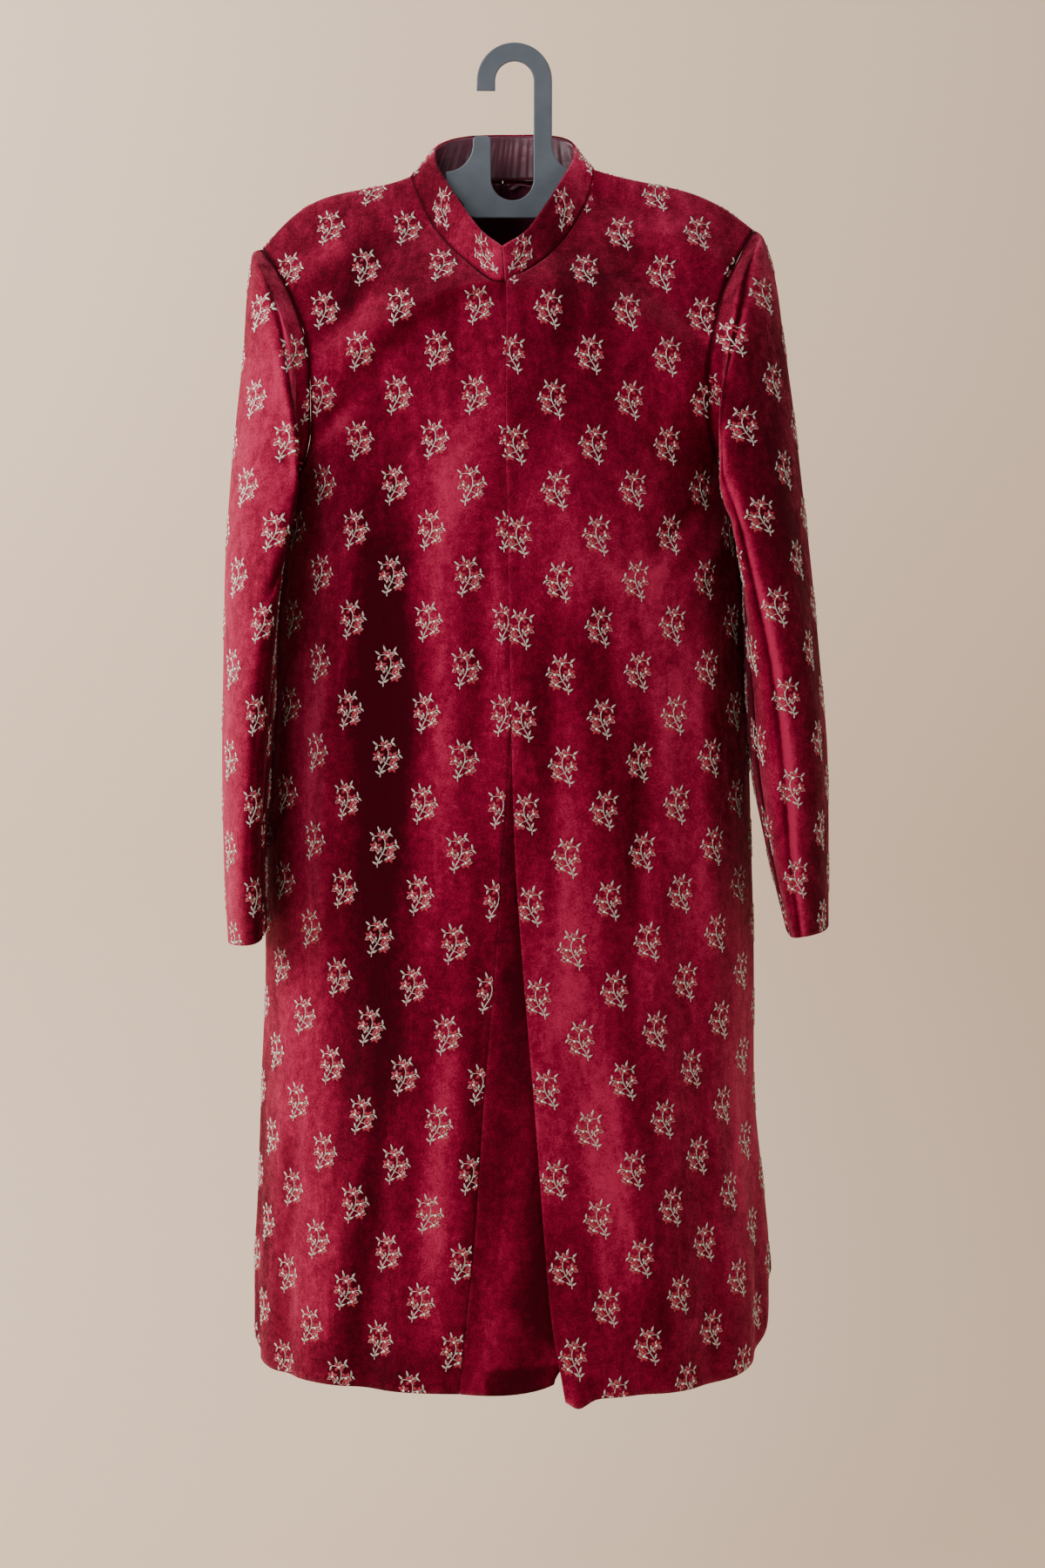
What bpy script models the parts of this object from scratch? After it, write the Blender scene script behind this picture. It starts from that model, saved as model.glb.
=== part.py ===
"""A sherwani coat that hangs on its hanger: a Blender 4.5 script, metres, +Z up.

The origin is the inner crown of the hanger's hook. The coat's front faces -Y, and its +X side is on
the right of someone who faces it. Tables are in millimetres. Each cloth piece is an open sheet, lofted
through rows of named sizes, with a Solidify wall on its inner side.
"""

import math

import bmesh
import bpy
import numpy as np

MM = 0.001

# Walls and gaps, mm
VELVET = 2.0
SATIN = 1.2
SEAM_GAP = 0.3
OVERLAP_LIFT = 3.0
# Where a seam runs along a tight bend, its inner edges need this much
BENT_SEAM_GAP = 0.5
SLEEVE_SEAM_GAP = 0.6
SEAM_THINNING = 0.5

# The grid of each sheet. A body panel and a sleeve have a vertex at each row of the armhole table,
# and the collar has one at each row of the neckline, so that facing edges run parallel.
BODY_SEAMS = ("first", "last", "top")
BODY_CELLS_ACROSS = 12
BODY_CELLS_BELOW_ARMHOLE = 13
SLEEVE_CELLS_DOWN = 15
COLLAR_CELLS_UP = 2
LAP_CELLS = (3, 12)
LINING_CELLS = (12, 6)

# Rows of every body panel, from the shoulder seam down to the hem.
# round: 0 a straight row, 1 a quarter ellipse. bulge: how far the row's middle stands out.
# arch_left, arch_right: how far the row's outer half rises over a straight line.
SHAPE_COLUMNS = ("round", "bulge", "arch_left", "arch_right")
SHAPE = (
    (0.00, 0, 19, 12),
    (0.02, 0, 19, 12),
    (0.10, 4, 12, 8),
    (0.15, 5, 7, 5),
    (0.20, 5, 3, 2),
    (0.25, 5, 1, 1),
    (0.30, 5, 0, 0),
    (0.30, 4, 0, 0),
    (0.40, 3, 0, 0),
    (0.60, 1, 0, 0),
    (0.88, 0, 0, 0),
) + ((1.00, 0, 0, 0),) * 9
ROW_NAMES = (
    "shoulder seam",
    "shoulder roll",
    "neck side",
    "neck side, lower",
    "neck curve",
    "neck front",
    "neck point",
    "closing corner",
    "upper chest",
    "chest",
    "lower armhole",
    "underarm",
    "bust",
    "waist",
    "upper hip",
    "hip",
    "slit top",
    "thigh",
    "knee",
    "hem",
)
UNDERARM_ROW = ROW_NAMES.index("underarm")
SLIT_ROW = ROW_NAMES.index("slit top")

# Edges that the rows run between, one (x, y, z) a row. First the inner edges: neckline, then centre.
UNDER_FRONT_EDGE = (
    (-95, 0, -103),
    (-95, -7, -104),
    (-88, -19, -123),
    (-77, -30, -147),
    (-61, -45, -168),
    (-44, -58, -184),
    (-17, -74, -204),
    (14, -70, -207),
    (14, -84, -262),
    (13, -96, -318),
    (12, -104, -362),
    (10, -107, -391),
    (7, -112, -460),
    (-2, -120, -580),
    (-10, -127, -700),
    (-18, -135, -820),
    (-28, -143, -940),
    (-36, -149, -1060),
    (-43, -152, -1130),
    (-50, -153, -1203),
)
OVER_FRONT_EDGE = (
    (73, 0, -97),
    (73, -7, -98),
    (69, -14, -119),
    (61, -26, -138),
    (48, -40, -160),
    (30, -55, -180),
    (12, -67, -193),
    (-7, -77, -205),
    (-7, -90, -262),
    (-7, -101, -318),
    (-7, -106, -362),
    (-6, -109, -391),
    (-5, -114, -460),
    (-3, -121, -580),
    (0, -128, -700),
    (8, -136, -820),
    (18, -144, -940),
    (27, -150, -1060),
    (33, -153, -1130),
    (46, -155, -1206),
)
BACK_EDGE_LEFT = (
    (-95, 0, -103),
    (-95, 7, -104),
    (-87, 20, -107),
    (-73, 30, -107),
    (-56, 37, -105),
    (-38, 41, -103),
    (-24, 43, -102),
    (-11, 44, -102),
    (-11, 74, -175),
    (-11, 88, -255),
    (-11, 95, -332),
    (-11, 98, -391),
    (-10, 102, -460),
    (-8, 106, -580),
    (-6, 110, -700),
    (-4, 117, -820),
    (-3, 125, -940),
    (-3, 133, -1060),
    (-3, 137, -1130),
    (-3, 140, -1196),
)
BACK_NECK_RIGHT = (
    (73, 0, -97),
    (73, 7, -98),
    (65, 20, -102),
    (51, 30, -103),
    (34, 37, -103),
    (16, 41, -102),
    (2, 43, -102),
)
BACK_EDGE_RIGHT = BACK_NECK_RIGHT + BACK_EDGE_LEFT[len(BACK_NECK_RIGHT) :]

# Outer edges: armhole from the shoulder tip to the underarm, then the side seam.
ARMHOLE_FRONT_LEFT = (
    (-232, 0, -169),
    (-231, -8, -170),
    (-216, -26, -191),
    (-204, -38, -212),
    (-195, -49, -234),
    (-188, -58, -256),
    (-185, -64, -275),
    (-184, -66, -294),
    (-184, -64, -333),
    (-190, -50, -361),
    (-203, -24, -384),
)
ARMHOLE_BACK_LEFT = (
    (-232, 0, -169),
    (-231, 8, -170),
    (-218, 26, -190),
    (-207, 38, -212),
    (-200, 47, -234),
    (-196, 53, -256),
    (-194, 57, -275),
    (-193, 59, -294),
    (-193, 56, -333),
    (-197, 44, -361),
    (-205, 20, -384),
)
SIDE_LEFT = (
    (-211, -2, -391),
    (-216, -4, -458),
    (-226, -6, -580),
    (-234, -8, -700),
    (-234, -8, -820),
    (-239, -8, -940),
    (-244, -10, -1060),
    (-247, -14, -1110),
    (-247, -18, -1165),
)
ARMHOLE_FRONT_RIGHT = (
    (220, 0, -152),
    (219, -8, -153),
    (204, -28, -180),
    (194, -38, -200),
    (185, -49, -224),
    (179, -58, -249),
    (176, -64, -267),
    (175, -67, -284),
    (176, -65, -324),
    (182, -50, -352),
    (193, -24, -375),
)
ARMHOLE_BACK_RIGHT = (
    (220, 0, -152),
    (219, 8, -153),
    (207, 26, -178),
    (198, 38, -200),
    (192, 47, -224),
    (188, 53, -249),
    (186, 57, -267),
    (185, 59, -284),
    (186, 56, -324),
    (189, 44, -352),
    (196, 20, -375),
)
SIDE_RIGHT = (
    (201, -2, -382),
    (211, -4, -455),
    (217, -6, -580),
    (221, -8, -700),
    (225, -8, -826),
    (226, -8, -940),
    (237, -8, -1052),
    (241, -12, -1095),
    (241, -18, -1124),
)
# Below the slit the back hangs a little inside and behind the front: (inward, back), a row each.
SLIT_SPREAD = ((3, 8), (5, 14), (7, 20))
# Where the rounded hem corner starts, as a share of the row.
CORNER_LEFT = 0.66
CORNER_RIGHT = 0.50

# Soft vertical folds of the skirt: (centre, width, depth, top_row). The centre and the width are
# shares of the row, the depth is at the hem, and the fold begins at its top row.
FOLDS_UNDER_FRONT = ((0.30, 0.075, 7, 12), (0.62, 0.055, 5, 14), (0.88, 0.05, 4, 15))
FOLDS_OVER_FRONT = ((0.24, 0.06, 4, 14), (0.50, 0.08, 6, 12), (0.80, 0.06, 6, 14))
FOLDS_BACK_LEFT = ((0.20, 0.07, 8, 12), (0.52, 0.06, 6, 13), (0.80, 0.06, 6, 13))
FOLDS_BACK_RIGHT = ((0.26, 0.06, 7, 12), (0.58, 0.07, 7, 13), (0.84, 0.05, 5, 14))

LAP_WIDTH = 98
LAP_TOP_ROW = 12.6

# Sleeve rings, from the sleeve head to the cuff, as
# (out_x, out_z, in_x, in_z, mid_y, half, front_in, back_in). out and in: the ring's outer and inner
# point. mid_y, half: its centre and half size from front to back. front_in, back_in: how far its
# front and back lean towards the coat.
SLEEVE_LEFT = (
    (-240, -173, -219, -396, -3, 69, 32, 22),
    (-243, -187, -219, -402, -5, 72, 33, 21),
    (-246, -217, -219, -408, -9, 75, 36, 19),
    (-249, -266, -219, -414, -16, 76, 40, 15),
    (-254, -317, -219, -424, -24, 76, 43, 12),
    (-260, -385, -218, -444, -32, 76, 38, 6),
    (-264, -462, -217, -484, -44, 74, 27, -3),
    (-265, -545, -218, -556, -54, 70, 15, -9),
    (-266, -640, -223, -643, -63, 66, 11, -12),
    (-265, -720, -227, -720, -70, 63, 8, -12),
    (-262, -799, -227, -790, -75, 60, 10, -10),
)
SLEEVE_RIGHT = (
    (227, -157, 209, -387, -3, 69, 30, 21),
    (235, -178, 209, -393, -5, 72, 33, 21),
    (241, -205, 209, -400, -9, 75, 38, 19),
    (247, -250, 209, -407, -14, 76, 42, 15),
    (255, -308, 209, -418, -22, 76, 46, 10),
    (264, -385, 209, -438, -30, 76, 36, 4),
    (273, -465, 210, -480, -38, 74, 26, -2),
    (281, -550, 212, -557, -46, 71, 14, -6),
    (288, -636, 217, -638, -53, 67, 10, -9),
    (289, -712, 231, -714, -60, 63, 12, -11),
    (289, -787, 250, -792, -66, 60, 12, -12),
)
# Armhole rows where the top sleeve meets the under sleeve, at the back and at the front.
BACK_SEAM_ROW = -9
FRONT_SEAM_ROW = 9

# The neckline rows that the collar stands on, and where its two ends meet at centre front.
NECK_ROWS = ROW_NAMES.index("closing corner") + 1
NECK_POINT_ROW = ROW_NAMES.index("neck point")
CLOSING_LEFT = (-8.4, -75.5, -203.5)
CLOSING_RIGHT = (-7.4, -77.5, -205)
COLLAR_GAP = 0.5
COLLAR_LINING_GAP = 1.1
# The collar's top edge, from its left end round the back to its right end.
COLLAR_TOP = (
    (-11.3, -66, -171),
    (-29, -55, -157),
    (-45, -42, -136),
    (-60, -26, -113),
    (-72, -5, -90),
    (-74, 14, -76),
    (-62, 30, -67),
    (-37, 38, -62),
    (-8, 40, -61),
    (19, 38, -61),
    (43, 31, -64),
    (56, 15, -73),
    (54, -5, -87),
    (42, -25, -110),
    (27, -41, -134),
    (10, -55, -157),
    (-10.3, -68, -171),
)

# The back lining that shows inside the neck
LINING_NECK_ROWS = 4.4
LINING_LAST_ROW = 9.4
LINING_HALF_SHARE = 0.5
LINING_GAP = 4.0
GATHER = 1.5
GATHERS = 9

# Hanger
PLATE = 4.0
HOOK_INNER = 17.5
HOOK_STRAP = 17.0
HOOK_END_Z = -26.5
NOTCH_LEFT = -21.5
NOTCH_BOTTOM_Z = -125
TAB_TOP_Z = -67
TAB_WIDTH = 16.5
FLARE_TOP_Z = -74
FLARE = 25
PLATE_BOTTOM_Z = -141
PLATE_FOOT = 47
ARM_RADIUS = 5.5
# The top line of each arm, (distance from the middle, z)
ARM_TOP = ((64, -103), (95, -113), (125, -121), (155, -129), (180, -139), (198, -154))


def hermite(table, places):
    """Rows of a table read at any place, on a smooth curve that never overshoots its rows."""
    table = np.asarray(table, float)
    rise = np.diff(table, axis=0)
    slope = np.zeros_like(table)
    same_way = rise[:-1] * rise[1:] > 0
    total = np.where(same_way, rise[:-1] + rise[1:], 1.0)
    slope[1:-1] = np.where(same_way, 2 * rise[:-1] * rise[1:] / total, 0.0)
    slope[0] = rise[0]
    slope[-1] = rise[-1]
    places = np.clip(places, 0, len(table) - 1)
    row = np.minimum(places.astype(int), len(table) - 2)
    t = (places - row)[:, None]
    a = (1 + 2 * t) * (1 - t) ** 2
    b = t * (1 - t) ** 2
    c = t * t * (3 - 2 * t)
    d = t * t * (t - 1)
    return a * table[row] + b * slope[row] + c * table[row + 1] + d * slope[row + 1]


def unit(vectors):
    return vectors / (np.linalg.norm(vectors, axis=1, keepdims=True) + 1e-12)


def smooth_step(low, high, value):
    t = np.clip((value - low) / (high - low), 0, 1)
    return t * t * (3 - 2 * t)


def body_panel(inner, outer, side, facing, folds, corner):
    """A function from (share along the row, row) to a point of the body, for one panel.

    side is -1 or 1 in X, facing is -1 for a front and 1 for a back.
    """
    arch_column = SHAPE_COLUMNS.index("arch_left" if side < 0 else "arch_right")
    last_row = len(SHAPE) - 1

    def point(s, row):
        a = hermite(inner, row)
        b = hermite(outer, row)
        shape = hermite(SHAPE, row)
        roundness = shape[:, 0]
        across = (1 - roundness) * s + roundness * np.sin(s * math.pi / 2)
        depth = (1 - roundness) * (1 - s) + roundness * np.cos(s * math.pi / 2)
        t = np.clip((s - corner) / (1 - corner), 0, 1)
        rounded = 1 - np.sqrt(1 - t * t)
        hem = smooth_step(SLIT_ROW, last_row, row)
        level = smooth_step(2, 7, row)
        fall = (1 - level) * s + level * s * s * (3 - 2 * s)
        fall = (1 - hem) * fall + hem * rounded
        x = a[:, 0] + (b[:, 0] - a[:, 0]) * across
        y = b[:, 1] + (a[:, 1] - b[:, 1]) * depth + facing * shape[:, 1] * np.sin(s * math.pi)
        z = a[:, 2] + (b[:, 2] - a[:, 2]) * fall
        z += shape[:, arch_column] * np.sin(math.pi * np.clip(s, 0, 1) ** 1.6)
        for centre, width, fold_depth, top_row in folds:
            wave = np.exp(-(((s - centre) / width) ** 2)) * smooth_step(top_row, last_row, row)
            x -= side * fold_depth * wave * np.sin(s * math.pi / 2)
            y -= facing * fold_depth * wave * np.cos(s * math.pi / 2)
        return np.stack([x, y, z], axis=1)

    return point


def spread_side(side_seam, side):
    """The back's edge of the side seam, which stands away from the front below the slit."""
    rows = [tuple(row) for row in side_seam]
    for place, (inward, back) in zip(range(-len(SLIT_SPREAD), 0), SLIT_SPREAD):
        x, y, z = rows[place]
        rows[place] = (x - side * inward, y + back, z)
    return tuple(rows)


def sleeve(front_armhole, back_armhole, underarm, rings, side):
    """A function from (armhole row, place down the sleeve) to a point of one sleeve.

    Armhole rows run from the shoulder tip down the front to the underarm and up the back.
    """
    loop = np.asarray(list(front_armhole) + [underarm] + list(reversed(back_armhole)), float)
    steps = np.linalg.norm(np.diff(loop, axis=0), axis=1)
    run = np.concatenate([[0], np.cumsum(steps)])
    under = run[len(front_armhole)]
    angles = np.where(run <= under, 180 * run / under, 180 + 180 * (run - under) / (run[-1] - under))
    rows = np.arange(len(loop), dtype=float)

    def ring_point(ring, row):
        out_x, out_z, in_x, in_z, mid_y, half, front_in, back_in = ring
        turn = np.radians(np.interp(row, rows, angles))
        lean = np.where(np.sin(turn) > 0, front_in, back_in) * np.sin(turn) ** 2
        x = (out_x + in_x) / 2 + (out_x - in_x) / 2 * np.cos(turn) - side * lean
        y = mid_y - half * np.sin(turn)
        z = (out_z + in_z) / 2 + (out_z - in_z) / 2 * np.cos(turn)
        return np.stack([x, y, z], axis=1)

    def point(row, place):
        row = np.mod(row, len(loop) - 1)
        table = np.stack([hermite(loop, row)] + [ring_point(ring, row) for ring in rings])
        found = [hermite(table[:, i], place[i : i + 1])[0] for i in range(len(row))]
        return np.array(found)

    return point


def grid_sheet(name, point, across, down, wall, made, flip, seams=(), gap=SEAM_GAP):
    """An open grid whose vertices are set by point(across, down), with a wall on its inner side.

    seams names the edges that meet a neighbour: they are drawn back and their wall is pressed thin.
    """
    mesh = bpy.data.meshes.new(name)
    form = bmesh.new()
    cells = (len(across) - 1, len(down) - 1)
    bmesh.ops.create_grid(form, x_segments=cells[0], y_segments=cells[1], size=1.0)
    column = np.array([round((vertex.co.x + 1) / 2 * cells[0]) for vertex in form.verts])
    row = np.array([round((1 - vertex.co.y) / 2 * cells[1]) for vertex in form.verts])

    def at(aside, along):
        beside = np.clip(column + aside, 0, cells[0])
        return point(across[beside], down[np.clip(row + along, 0, cells[1])])

    sewn = np.zeros(len(column), bool)
    places = at(0, 0)
    here = {"first": column == 0, "last": column == cells[0], "top": row == 0}
    steps = {"first": (1, 0), "last": (-1, 0), "top": (0, 1)}
    for seam in seams:
        aside, along = steps[seam]
        run = unit(at(along, aside) - at(-along, -aside))
        way = at(aside, along) - at(0, 0)
        way = unit(way - run * np.sum(way * run, axis=1, keepdims=True))
        places += np.where(here[seam][:, None], way * gap / 2, 0)
        sewn |= here[seam]
    for vertex, place in zip(form.verts, places):
        vertex.co = place * MM
    if flip:
        bmesh.ops.reverse_faces(form, faces=form.faces)
    form.to_mesh(mesh)
    form.free()
    mesh.shade_smooth()
    mesh.materials.append(made)
    sheet = bpy.data.objects.new(name, mesh)
    PARTS.objects.link(sheet)
    solid = sheet.modifiers.new("wall", "SOLIDIFY")
    solid.thickness = wall * MM
    solid.offset = -1
    thickness = sheet.vertex_groups.new(name="thickness")
    for index, thin in enumerate(sewn):
        thickness.add([index], SEAM_THINNING if thin else 1.0, "REPLACE")
    solid.vertex_group = thickness.name
    return sheet


def material(name, colour, roughness, sheen=0.0):
    made = bpy.data.materials.new(name)
    made.use_nodes = True
    shader = made.node_tree.nodes["Principled BSDF"]
    shader.inputs["Base Color"].default_value = (*colour, 1)
    shader.inputs["Roughness"].default_value = roughness
    shader.inputs["Metallic"].default_value = 0.0
    shader.inputs["Sheen Weight"].default_value = sheen
    return made


def body_pieces(velvet):
    last_row = len(SHAPE) - 1
    across = 1 - np.linspace(1, 0, BODY_CELLS_ACROSS + 1) ** 1.25
    below = np.linspace(UNDERARM_ROW, last_row, BODY_CELLS_BELOW_ARMHOLE + 1)
    down = np.concatenate([np.arange(UNDERARM_ROW), below])

    outer_left = ARMHOLE_FRONT_LEFT + SIDE_LEFT
    outer_right = ARMHOLE_FRONT_RIGHT + SIDE_RIGHT
    under = body_panel(UNDER_FRONT_EDGE, outer_left, -1, -1, FOLDS_UNDER_FRONT, CORNER_LEFT)
    over_flat = body_panel(OVER_FRONT_EDGE, outer_right, 1, -1, FOLDS_OVER_FRONT, CORNER_RIGHT)

    def over(s, row):
        points = over_flat(s, row)
        away = points[:, 0] - hermite(OVER_FRONT_EDGE, row)[:, 0]
        points[:, 1] -= OVERLAP_LIFT * (1 - smooth_step(90, 160, away)) * smooth_step(4, 6, row)
        return points

    outer_left = ARMHOLE_BACK_LEFT + spread_side(SIDE_LEFT, -1)
    outer_right = ARMHOLE_BACK_RIGHT + spread_side(SIDE_RIGHT, 1)
    back_left = body_panel(BACK_EDGE_LEFT, outer_left, -1, 1, FOLDS_BACK_LEFT, CORNER_LEFT)
    back_right = body_panel(BACK_EDGE_RIGHT, outer_right, 1, 1, FOLDS_BACK_RIGHT, CORNER_RIGHT)

    for name, point, flip in (
        ("front_under", under, True),
        ("front_over", over, False),
        ("back_left", back_left, False),
        ("back_right", back_right, True),
    ):
        grid_sheet(name, point, across, down, VELVET, velvet, flip, BODY_SEAMS, BENT_SEAM_GAP)

    def lap(s, row):
        seam = hermite(UNDER_FRONT_EDGE, row)
        edge = hermite(OVER_FRONT_EDGE, row)
        side = hermite(ARMHOLE_FRONT_RIGHT + SIDE_RIGHT, row)
        x = seam[:, 0] + LAP_WIDTH * s
        beyond = np.clip((x - edge[:, 0]) / (side[:, 0] - edge[:, 0]), 0, 1)
        y = seam[:, 1] * np.sqrt(1 - beyond**2)
        return np.stack([x, y, seam[:, 2]], axis=1)

    across = np.linspace(0, 1, LAP_CELLS[0] + 1)
    down = np.linspace(LAP_TOP_ROW, last_row, LAP_CELLS[1] + 1)
    grid_sheet("under_lap", lap, across, down, VELVET, velvet, False, ("first",))
    return back_left, back_right


def sleeve_pieces(velvet):
    for name, front, back, side_seam, rings, side in (
        ("left", ARMHOLE_FRONT_LEFT, ARMHOLE_BACK_LEFT, SIDE_LEFT, SLEEVE_LEFT, -1),
        ("right", ARMHOLE_FRONT_RIGHT, ARMHOLE_BACK_RIGHT, SIDE_RIGHT, SLEEVE_RIGHT, 1),
    ):
        point = sleeve(front, back, side_seam[0], rings, side)
        down = np.linspace(0, len(rings), SLEEVE_CELLS_DOWN + 1)
        around = len(front) + len(back)
        for part, across in (
            ("top", np.arange(BACK_SEAM_ROW, FRONT_SEAM_ROW + 1)),
            ("under", np.arange(FRONT_SEAM_ROW, around + BACK_SEAM_ROW + 1)),
        ):
            across = across.astype(float)
            node = f"sleeve_{part}_{name}"
            sheet = (node, point, across, down, VELVET, velvet, side > 0)
            grid_sheet(*sheet, ("first", "last", "top"), SLEEVE_SEAM_GAP)


def run_share(points):
    """How far along a run of points each one is, from 0 to 1."""
    steps = np.linalg.norm(np.diff(np.asarray(points, float), axis=0), axis=1)
    run = np.concatenate([[0], np.cumsum(steps)])
    return run / run[-1]


def inset(point, distance, across_step, down_step, turn=1):
    """point, moved to the inner side of its sheet by distance."""

    def moved(s, v):
        here = point(s, v)
        along = point(s + across_step, v) - point(s - across_step, v)
        down = point(s, v + down_step) - point(s, v - down_step)
        return here - unit(np.cross(along, down)) * distance * turn

    return moved


def collar_pieces(velvet, satin):
    base = tuple(reversed(UNDER_FRONT_EDGE[:NECK_POINT_ROW + 1]))
    base = (CLOSING_LEFT,) + base + BACK_EDGE_LEFT[1:NECK_ROWS]
    base += tuple(reversed(BACK_EDGE_RIGHT[1 : NECK_ROWS - 1]))
    base += OVER_FRONT_EDGE[:NECK_POINT_ROW + 1] + (CLOSING_RIGHT,)
    base_share = run_share(base)
    top_share = run_share(COLLAR_TOP)
    base_rows = np.arange(len(base), dtype=float)
    top_rows = np.arange(len(COLLAR_TOP), dtype=float)

    def point(s, down):
        low = hermite(base, s) + np.array([0, 0, COLLAR_GAP])
        share = np.interp(s, base_rows, base_share)
        high = hermite(COLLAR_TOP, np.interp(share, top_share, top_rows))
        return high + (low - high) * down[:, None]

    down = np.linspace(0, 1, COLLAR_CELLS_UP + 1)
    grid_sheet("collar", point, base_rows, down, VELVET, velvet, True)
    lining = inset(point, VELVET + COLLAR_LINING_GAP, 0.02, 0.01)
    across = base_rows.copy()
    across[0] += 0.15
    across[-1] -= 0.15
    down = np.linspace(0.04, 0.97, COLLAR_CELLS_UP + 1)
    grid_sheet("collar_lining", lining, across, down, SATIN, satin, True)


def outline(name, points, thickness, made, bevel):
    """A flat piece that stands in the XZ plane, from its outline."""
    curve = bpy.data.curves.new(name, "CURVE")
    curve.dimensions = "2D"
    curve.fill_mode = "BOTH"
    curve.extrude = (thickness / 2 - bevel) * MM
    curve.bevel_depth = bevel * MM
    curve.bevel_resolution = 0
    curve.offset = -bevel * MM
    spline = curve.splines.new("POLY")
    spline.points.add(len(points) - 1)
    for target, (x, z) in zip(spline.points, points):
        target.co = (x * MM, z * MM, 0, 1)
    spline.use_cyclic_u = True
    curve.materials.append(made)
    piece = bpy.data.objects.new(name, curve)
    piece.rotation_euler = (math.pi / 2, 0, 0)
    PARTS.objects.link(piece)
    return piece


def arc(centre, radius, start, end, steps):
    turns = np.radians(np.linspace(start, end, steps + 1))
    return [(centre[0] + radius * math.cos(t), centre[1] + radius * math.sin(t)) for t in turns]


def hanger_pieces(plastic):
    outer = HOOK_INNER + HOOK_STRAP
    middle = (0, -HOOK_INNER)
    notch_radius = (HOOK_INNER - NOTCH_LEFT) / 2
    notch_middle = (HOOK_INNER - notch_radius, NOTCH_BOTTOM_Z + notch_radius)
    tab_outer = NOTCH_LEFT - TAB_WIDTH
    arm_top_z = FLARE_TOP_Z - FLARE
    points = [(-outer, HOOK_END_Z)]
    points += arc(middle, outer, 180, 0, 18)
    points += arc((outer + FLARE, FLARE_TOP_Z), FLARE, 180, 270, 5)
    points += [(outer + FLARE, arm_top_z - 12)]
    points += arc((PLATE_FOOT - 12, PLATE_BOTTOM_Z + 12), 12, 0, -90, 4)
    points += arc((-PLATE_FOOT + 12, PLATE_BOTTOM_Z + 12), 12, -90, -180, 4)
    points += [(tab_outer - FLARE, arm_top_z - 12)]
    points += arc((tab_outer - FLARE, FLARE_TOP_Z), FLARE, -90, 0, 5)
    points += arc((tab_outer + 4, TAB_TOP_Z - 4), 4, 180, 90, 2)
    points += arc((NOTCH_LEFT - 4, TAB_TOP_Z - 4), 4, 90, 0, 2)
    points += arc(notch_middle, notch_radius, 180, 360, 10)
    points += arc(middle, HOOK_INNER, 0, 180, 12)
    points += [(-HOOK_INNER, HOOK_END_Z)]
    outline("hanger_plate", points, PLATE, plastic, 0.8)

    for name, side in (("left", -1), ("right", 1)):
        curve = bpy.data.curves.new(f"hanger_arm_{name}", "CURVE")
        curve.dimensions = "3D"
        curve.bevel_depth = ARM_RADIUS * MM
        curve.bevel_resolution = 2
        curve.use_fill_caps = True
        spline = curve.splines.new("POLY")
        spline.points.add(len(ARM_TOP) - 1)
        for target, (x, z) in zip(spline.points, ARM_TOP):
            target.co = (side * x * MM, 0, (z - ARM_RADIUS) * MM, 1)
        curve.materials.append(plastic)
        arm = bpy.data.objects.new(f"hanger_arm_{name}", curve)
        PARTS.objects.link(arm)


def back_lining(back_left, back_right, satin):
    """The gathered back lining, from the neck seam down to below what the neck shows."""

    def place(share, v):
        top_row = NECK_ROWS - 1 - LINING_NECK_ROWS * np.abs(share)
        row = top_row + (LINING_LAST_ROW - top_row) * v
        return LINING_HALF_SHARE * np.abs(share) * v**0.8, row

    def point(share, v):
        s, row = place(share, 0.03 + 0.97 * v)
        deep = VELVET + LINING_GAP + GATHER * (1 + np.cos(share * GATHERS * math.pi)) / 2
        left = inset(back_left, 1.0, 0.01, 0.01, -1)
        right = inset(back_right, 1.0, 0.01, 0.01, 1)
        side = (share > 0)[:, None]
        surface = np.where(side, back_right(s, row), back_left(s, row))
        step = np.where(side, right(s, row), left(s, row)) - surface
        return surface + step * deep[:, None]

    across = np.linspace(-1, 1, LINING_CELLS[0] + 1)
    down = np.linspace(0, 1, LINING_CELLS[1] + 1)
    grid_sheet("back_lining", point, across, down, SATIN, satin, False)


def clear_scene():
    for thing in list(bpy.data.objects):
        bpy.data.objects.remove(thing, do_unlink=True)


clear_scene()
PARTS = bpy.data.collections.new("sherwani_coat")
bpy.context.scene.collection.children.link(PARTS)
crimson = material("crimson_velvet", (0.20, 0.004, 0.02), 0.8, sheen=0.6)
plum = material("plum_satin", (0.12, 0.01, 0.05), 0.35)
slate = material("slate_plastic", (0.06, 0.08, 0.12), 0.45)
backs = body_pieces(crimson)
sleeve_pieces(crimson)
collar_pieces(crimson, plum)
back_lining(*backs, plum)
hanger_pieces(slate)
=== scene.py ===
"""The looks of a sherwani coat on its hanger, on its CAD frame: a Blender 4.5 script, metres, +Z up.

The origin is the inner crown of the hanger's hook. The coat's front faces -Y. Tables are in millimetres
and say the same sizes as the CAD pieces. Each cloth piece is a fine grid on its solid's form, creased
along listed lines, and carries its flat cut in the UV map "flat". The embroidery is drawn once as a sprig,
repeated on the flat cut by Geometry Nodes, and laid on the cloth through that UV map.
"""

import math

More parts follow.
